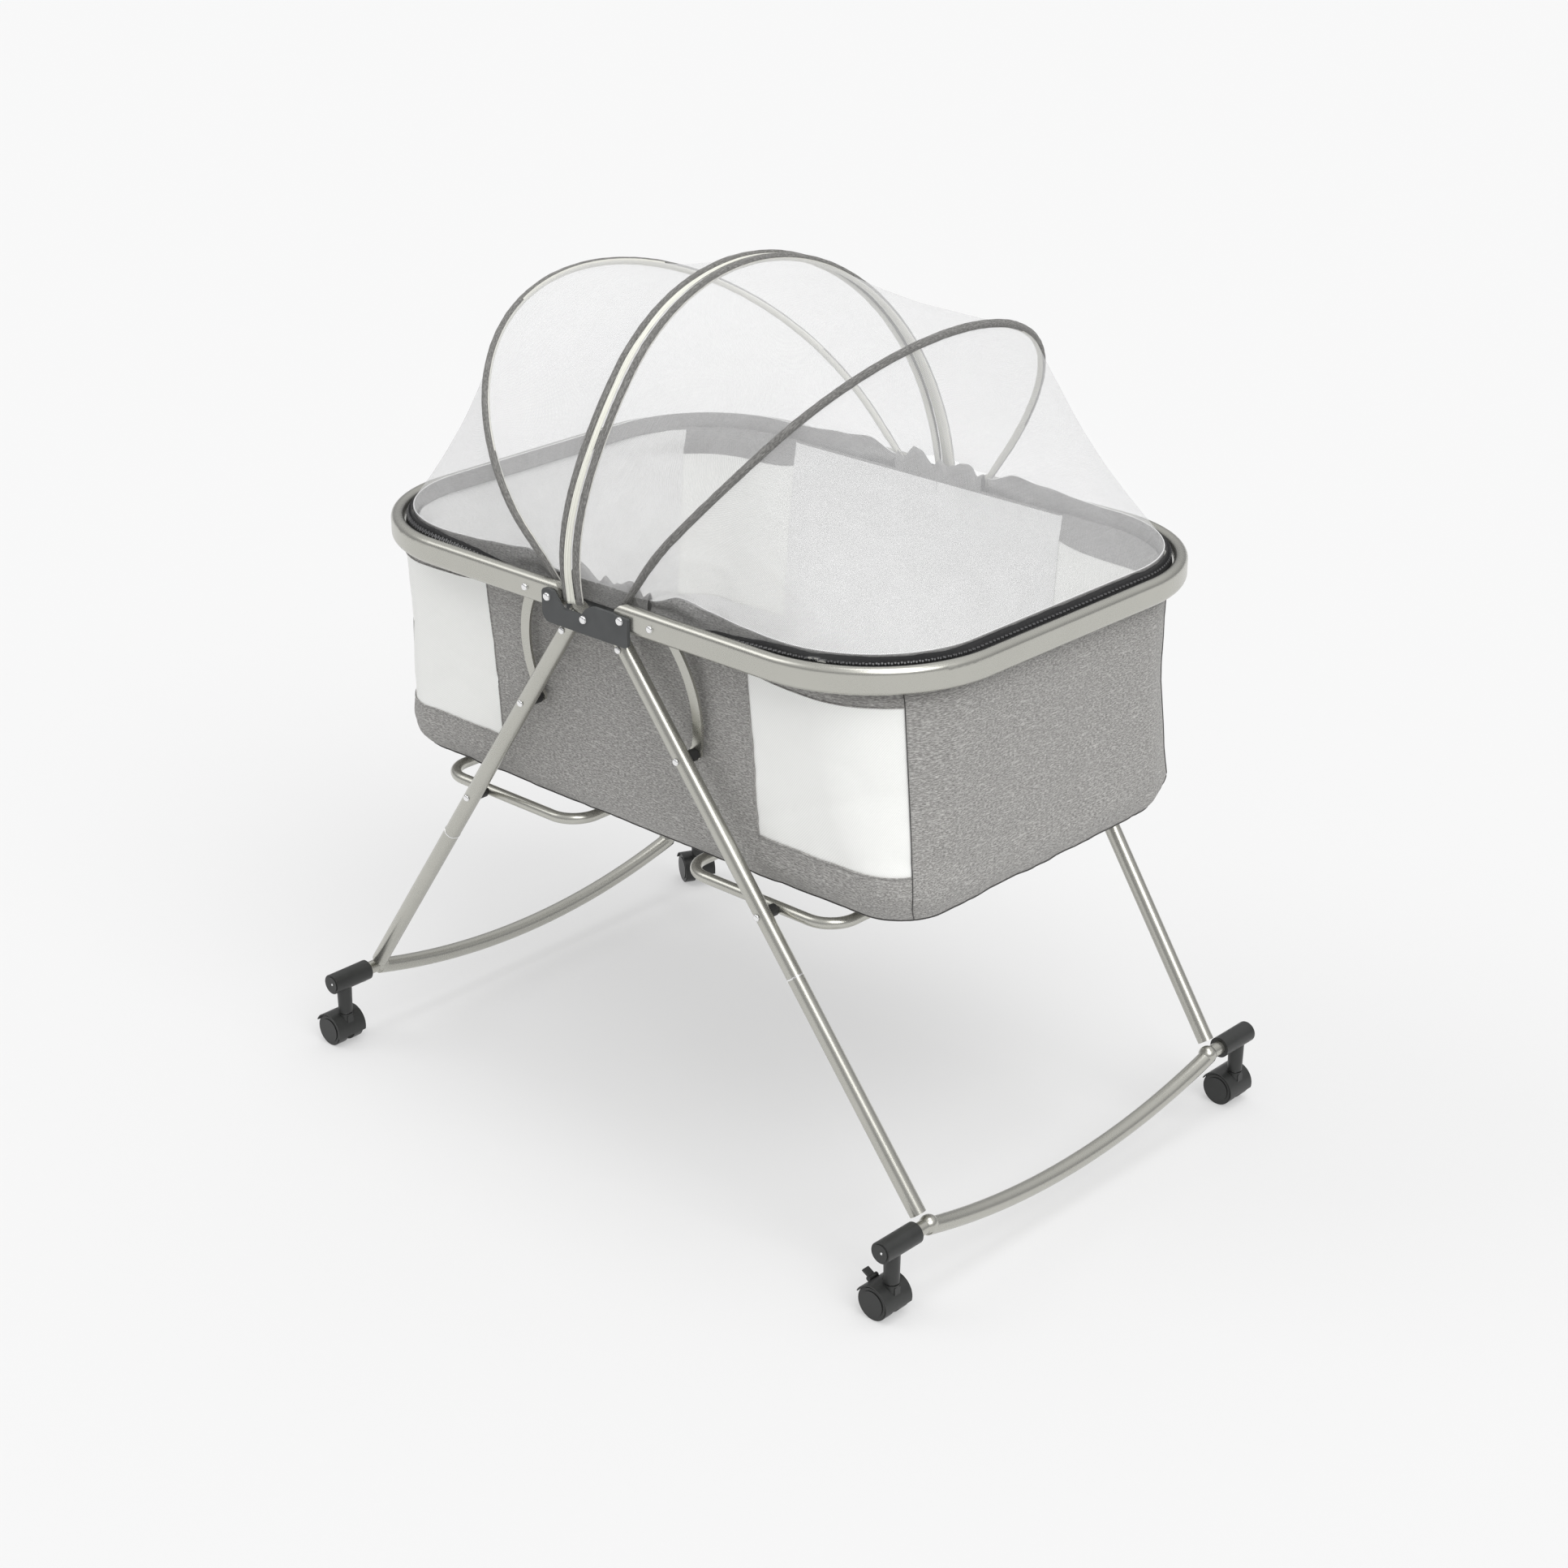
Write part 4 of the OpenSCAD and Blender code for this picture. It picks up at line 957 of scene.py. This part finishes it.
# section of the crumpled hem in y and z: up inside the bracket plate, over its edge and down in front
DRAPE = ((270.8, 686.0), (271.2, 697.0), (272.2, 706.0), (275.0, 710.5), (278.2, 708.0), (279.5, 699.0),
         (279.6, 689.0), (279.6, 679.5))
DRAPE_ROWS, DRAPE_COLS, DRAPE_HALF = 28, 120, 66.0
# outside this y the hem lies against the plate, and creases less
DRAPE_TIGHT_Y, DRAPE_TIGHT = 274.0, 0.42


def bell(x, middle, width):
    return math.exp(-((x - middle) / width) ** 2)


def hem_crumple(sy, word):
    """The hem between the hoops' feet, which dips at each foot and swells between them."""
    rows = []
    for j in range(DRAPE_ROWS + 1):
        v = j / DRAPE_ROWS * (len(DRAPE) - 1)
        k = min(int(v), len(DRAPE) - 2)
        y0 = share(DRAPE[k][0], DRAPE[k + 1][0], v - k)
        z0 = share(DRAPE[k][1], DRAPE[k + 1][1], v - k)
        high = ease((z0 - 688) / 18)
        room = 1.0 if y0 < DRAPE_TIGHT_Y else DRAPE_TIGHT
        line = []
        for i in range(DRAPE_COLS + 1):
            x = -DRAPE_HALF + 2 * DRAPE_HALF * i / DRAPE_COLS
            foot = bell(abs(x), 10, 7) + bell(abs(x), 56, 7)
            swell = 5.0 * bell(x, -40, 12) + 2.5 * bell(x, 34, 14)
            wave = 2.4 * math.sin(x * 0.16 + 1) + 2.4 * fbm(x * 0.07, 0.3, sy)
            crease = 0.9 * math.sin(x * 0.33 + v * 0.9 + sy) + 1.1 * fbm(x * 0.1, v * 0.7, sy * 4)
            line.append(at(x, sy * (y0 + crease * high * room), z0 + high * (swell - 7.0 * foot + wave)))
        rows.append(line)
    o = grid_object("hem_crumple_" + word, rows, MAT["hem_band"])
    thicken(o, 0.9 * MM, 0.0)
    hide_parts("hem_middle")
    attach(o, "hub")


hem_crumple(-1, "front")
hem_crumple(1, "back")

# ---- mattress

QUILT_COLS, QUILT_ROWS = 50, 52
MATTRESS_GAP = 1.5 * MM
MATTRESS_CORNER = 88 * MM
# width of the rounded edge, spacing of the quilting, and how high the quilted puffs stand
ROUND_EDGE, QUILT_PITCH, QUILT_H = 16 * MM, 62 * MM, 3.0 * MM
# how high the top and the underside lie at the very edge, and what the top leaves for the puffs
EDGE_TOP, EDGE_LOW, PUFF_ROOM = 8 * MM, 7 * MM, 3.2 * MM


def mattress(side):
    """One half of the quilted mattress, with rounded corners at its outer end."""
    lo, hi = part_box("mattress_" + WORD[side])
    x_in = MID_X + side * MATTRESS_GAP
    far = hi.x if side > 0 else lo.x
    length = abs(far - x_in)
    half = (hi.y - lo.y) / 2

    def section(u, v):
        """Place and crown at share u from the middle outwards and v from -1 to 1 across."""
        x = u * length
        over = max(0.0, x - (length - MATTRESS_CORNER))
        y = v * (half - MATTRESS_CORNER + math.sqrt(max(MATTRESS_CORNER ** 2 - over * over, 0)))
        edge = min(1.0, min((1 - abs(v)) * half, u * length, (1 - u) * length) / ROUND_EDGE)
        return x, y, 1 - (1 - edge) ** 2

    top, low = [], []
    for j in range(QUILT_ROWS + 1):
        for i in range(QUILT_COLS + 1):
            x, y, crown = section(i / QUILT_COLS, -1 + 2 * j / QUILT_ROWS)
            puff = min(abs(math.sin(math.pi * (x + y) / QUILT_PITCH)),
                       abs(math.sin(math.pi * (x - y) / QUILT_PITCH))) ** 0.45
            z = (lo.z + EDGE_TOP + (hi.z - lo.z - EDGE_TOP - PUFF_ROOM) * crown + QUILT_H * puff * crown)
            top.append(Vector((x_in + side * x, MID_Y + y, z)))
            low.append(Vector((x_in + side * x, MID_Y + y, lo.z + EDGE_LOW * (1 - crown) + 0.2 * MM)))
    verts = top + low
    w, off = QUILT_COLS + 1, len(top)
    faces = []
    for j in range(QUILT_ROWS):
        for i in range(QUILT_COLS):
            a, b, c, d = j * w + i, j * w + i + 1, (j + 1) * w + i + 1, (j + 1) * w + i
            faces.append((a, b, c, d))
            faces.append((off + d, off + c, off + b, off + a))
    # the sides: front and back, then outer and inner end
    sides = [((i, i + 1), (QUILT_ROWS * w + i, QUILT_ROWS * w + i + 1)) for i in range(QUILT_COLS)]
    sides += [((j * w + w - 1, j * w + 2 * w - 1), (j * w, (j + 1) * w)) for j in range(QUILT_ROWS)]
    for (a, b), (c, d) in sides:
        faces += [(a, off + a, off + b, b), (c, d, off + d, off + c)]
    o = make_object("quilted_mattress_" + WORD[side], verts, faces, [(p.x, p.y) for p in verts],
                    [MAT["mattress_cover"]])
    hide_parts("mattress_" + WORD[side])
    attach(o, "cradle_" + TAG[side])
    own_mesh(o)


for s in (1, -1):
    mattress(s)

# ---- small metal parts

# radius and height of the profiles, as shares of the piece's own, and angles round each piece
DOME_PROFILE = ((1.0, 0.0), (1.0, 0.16), (0.94, 0.42), (0.78, 0.70), (0.52, 0.90), (0.24, 0.98))
SCREW_PROFILE = ((1.0, 0.0), (1.0, 0.25), (0.9, 0.5), (0.65, 0.72), (0.42, 0.8))
DOME_SIDES, SCREW_SIDES, RING_SIDES = 28, 32, 40


def around(axis):
    """An axis of length one, and the direction at an angle round it."""
    ax = Vector(axis).normalized()
    e1 = ax.orthogonal().normalized()
    e2 = ax.cross(e1)
    return ax, lambda q: e1 * math.cos(q) + e2 * math.sin(q)


def lathe(centre, axis, profile, n):
    """Points and side faces of (radius, height) pairs turned round an axis."""
    ax, way = around(axis)
    turns = [way(2 * math.pi * k / n) for k in range(n)]
    verts = [centre + turn * r + ax * z for r, z in profile for turn in turns]
    faces = [(i * n + k, i * n + (k + 1) % n, (i + 1) * n + (k + 1) % n, (i + 1) * n + k)
             for i in range(len(profile) - 1) for k in range(n)]
    return verts, faces


def zinc_piece(name, verts, faces, body, smooth):
    o = make_object(name, verts, faces, None, [MAT["rivet_zinc"]], smooth=smooth)
    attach(o, body)


def ring(name, centre, axis, r_in, r_out, h, body):
    """A flat ring with eased outer edges."""
    ease_r = r_out - 0.15 * h
    profile = ((r_in, -h / 2), (r_in, h / 2), (ease_r, h / 2), (r_out, 0.35 * h), (r_out, -0.35 * h),
               (ease_r, -h / 2))
    ax, way = around(axis)
    n, m = RING_SIDES, len(profile)
    verts = [centre + way(2 * math.pi * k / n) * r + ax * z for k in range(n) for r, z in profile]
    faces = [(k * m + i, k * m + (i + 1) % m, (k + 1) % n * m + (i + 1) % m, (k + 1) % n * m + i)
             for k in range(n) for i in range(m)]
    zinc_piece(name, verts, faces, body, smooth=False)


def screw(name, centre, axis, r, body):
    """A pan-head screw with a cross recess."""
    n = SCREW_SIDES
    verts, faces = lathe(centre, axis, [(r * k, 0.7 * r * z) for k, z in SCREW_PROFILE], n)
    ax, way = around(axis)
    rim, inner = len(verts) - n, len(verts)
    for k in range(n):
        reach = 0.36 if (k % 8) in (0, 1, 7) else 0.12
        verts.append(centre + way(2 * math.pi * k / n) * r * reach + ax * (r * 0.3))
    verts.append(centre + ax * (r * 0.25))
    for k in range(n):
        faces.append((rim + k, rim + (k + 1) % n, inner + (k + 1) % n, inner + k))
        faces.append((inner + k, inner + (k + 1) % n, inner + n))
    zinc_piece(name, verts, faces + [tuple(range(n))[::-1]], body, smooth=False)


def dome(name, centre, axis, r, h, body):
    """A domed rivet head with a small rim."""
    n = DOME_SIDES
    verts, faces = lathe(centre, axis, [(r * k, h * z) for k, z in DOME_PROFILE], n)
    rim = len(verts) - n
    verts.append(centre + Vector(axis).normalized() * h)
    faces += [(rim + k, rim + (k + 1) % n, rim + n) for k in range(n)]
    zinc_piece(name, verts, faces + [tuple(range(n))[::-1]], body, smooth=True)


# the legs' middle line: x and z at the pivot and at the foot, and y and z at the top and at the foot
LEG_PIVOT_X, LEG_PIVOT_Z = 25.0, 671.0
LEG_TOP_Y, LEG_TOP_Z = 291.6, 646.0
FOOT_X, FOOT_Y, FOOT_Z = 444.6, 258.8, 87.0
LEG_R = 9.5
LEG_RIVETS = ((646, "top"), (538, "link"), (388, "loop"))
LEG_JOINT_Z = 328
# the domes sit on the flat CAD heads: on the bracket plate, on the rim and on the legs
PLATE_Y, HEAD_PROUD = 309.6, 1.7
RIM_HEAD_Y, RIM_RIVET_X = 306.6, 95
LEG_HEAD_PROUD = 1.4
HUB_DOME = (4.4 * MM, 1.6 * MM)
SMALL_DOME = (3.9 * MM, 1.5 * MM)


def leg_point(z):
    """Distances in x and y from the middle to a leg's middle line at a height."""
    k = (LEG_PIVOT_Z - z) / (LEG_PIVOT_Z - FOOT_Z)
    drop = (LEG_TOP_Z - z) * (LEG_TOP_Y - FOOT_Y) / (LEG_TOP_Z - FOOT_Z)
    return share(LEG_PIVOT_X, FOOT_X, k), LEG_TOP_Y - drop


def leg_trim(side, sy, word):
    """Domes on a leg's rivets, and a ring where its tubes join."""
    body = "stand_" + TAG[side]
    for z, part in LEG_RIVETS:
        x, y = leg_point(z)
        dome("rivet_dome_leg_%s_%s_%s" % (part, word, WORD[side]),
             at(side * x, sy * (y + LEG_R + LEG_HEAD_PROUD), z), (0, sy, 0), *SMALL_DOME, body)
    (x0, y0), (x1, y1) = leg_point(LEG_JOINT_Z - 1), leg_point(LEG_JOINT_Z + 1)
    x, y = leg_point(LEG_JOINT_Z)
    ring("leg_joint_ring_%s_%s" % (word, WORD[side]), at(side * x, sy * y, LEG_JOINT_Z),
         Vector((side * (x1 - x0), sy * (y1 - y0), 2.0)), 9.3 * MM, 9.95 * MM, 1.6 * MM, body)


for sy, word in ((-1, "front"), (1, "back")):
    plate_face = sy * (PLATE_Y + HEAD_PROUD)
    out = (0, sy, 0)
    for s in (1, -1):
        dome("rivet_dome_hub_%s_%s" % (word, WORD[s]), at(s * HOOP_FOOT_X["outer"], plate_face, RIM_MID_Z),
             out, *HUB_DOME, "hub")
        dome("rivet_dome_rim_%s_%s" % (word, WORD[s]), at(s * RIM_RIVET_X, sy * RIM_HEAD_Y, RIM_MID_Z), out,
             *SMALL_DOME, "rim_" + TAG[s])
        leg_trim(s, sy, word)
    dome("rivet_dome_hub_%s_middle" % word, at(0, plate_face, 671.6), out, *HUB_DOME, "hub")

STEM_GAP_Z = 43.0


def caster_trim(corner):
    """A steel ring on a caster's stem, a screw under its socket and a pin in the socket's cap."""
    lo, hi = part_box("socket_" + corner)
    sy = -1 if corner.startswith("front") else 1
    stem = joint_pos("swivel_" + corner)
    ring("stem_ring_" + corner, Vector((stem.x, stem.y, STEM_GAP_Z * MM)), (0, 0, 1), 4.6 * MM, 6.6 * MM,
         1.5 * MM, "fork_" + corner)
    foot = joint_pos("flip_" + corner)
    inner, cap = (lo.y, hi.y) if sy > 0 else (hi.y, lo.y)
    screw("socket_screw_" + corner, Vector((foot.x, inner + sy * 6 * MM, foot.z - 12.3 * MM)), (0, 0, -1),
          4.0 * MM, "socket_" + corner)
    dome("socket_pin_" + corner, Vector((foot.x + 2.5 * MM, cap, foot.z + 1.0 * MM)), (0, sy, 0), 1.5 * MM,
         0.8 * MM, "socket_" + corner)


for corner in ("front_left", "front_right", "back_left", "back_right"):
    caster_trim(corner)

# ---- stage, lights, camera

# the floor glows a little, as a bright studio backdrop does, so that shadows on it stay pale
FLOOR_ALBEDO, FLOOR_GLOW = 0.43, 0.40


def stage_floor():
    h = 200
    corners = [(-h, -h, 0), (h, -h, 0), (h, h, 0), (-h, h, 0)]
    floor = make_object("studio_floor", corners, [(0, 1, 2, 3)], None, [], smooth=False)
    m, _, b = new_material("pale_floor")
    put(b, {"Base Color": (FLOOR_ALBEDO,) * 3, "Emission Color": WHITE, "Emission Strength": FLOOR_GLOW,
            "Roughness": 0.95, "Specular IOR Level": 0.0})
    m.cycles.emission_sampling = "NONE"
    floor.data.materials.append(m)


def studio_world():
    """A grey room with a brighter band above the horizon, which the metal reflects."""
    world = bpy.data.worlds.new("studio")
    bpy.context.scene.world = world
    world.use_nodes = True
    wt = world.node_tree
    up = wt.nodes.new("ShaderNodeSeparateXYZ")
    wt.links.new(coords(wt, "Generated"), up.inputs[0])
    sky = ramp(wt, up.outputs["Z"], [(0.0, (0.30, 0.30, 0.31)), (0.22, (0.36, 0.36, 0.37)),
                                     (0.50, (0.62, 0.62, 0.62)), (0.72, (0.78, 0.78, 0.78)),
                                     (1.0, (0.60, 0.60, 0.60))])
    wt.links.new(sky, wt.nodes["Background"].inputs["Color"])
    wt.nodes["Background"].inputs["Strength"].default_value = 1.0


def sun(name, towards, strength, spread_deg):
    d = bpy.data.lights.new(name, "SUN")
    d.energy = strength
    d.angle = math.radians(spread_deg)
    o = bpy.data.objects.new(name, d)
    bpy.context.scene.collection.objects.link(o)
    o.rotation_mode = "QUATERNION"
    o.rotation_quaternion = Vector(towards).to_track_quat("Z", "Y")


TARGET, DISTANCE = at(3.1, 0.0, 382.1), 3.556
AZIMUTH, ELEVATION = math.radians(42.75), math.radians(23.795)


def camera():
    data = bpy.data.cameras.new("camera")
    cam = bpy.data.objects.new("camera", data)
    bpy.context.scene.collection.objects.link(cam)
    level = math.cos(ELEVATION)
    back = Vector((math.sin(AZIMUTH) * level, -math.cos(AZIMUTH) * level, math.sin(ELEVATION)))
    cam.location = TARGET + back * DISTANCE
    cam.rotation_mode = "QUATERNION"
    cam.rotation_quaternion = (-back).to_track_quat("-Z", "Y")
    data.sensor_width = 36.0
    data.lens = 70.1
    data.dof.use_dof = False
    data.clip_end = 50
    bpy.context.scene.camera = cam


stage_floor()
studio_world()
sun("key", (0.66, -0.24, 0.80), 1.45, 42)
sun("fill", (-0.62, -0.50, 0.75), 0.36, 30)
sun("top", (0.10, 0.06, 1.0), 0.62, 26)
camera()
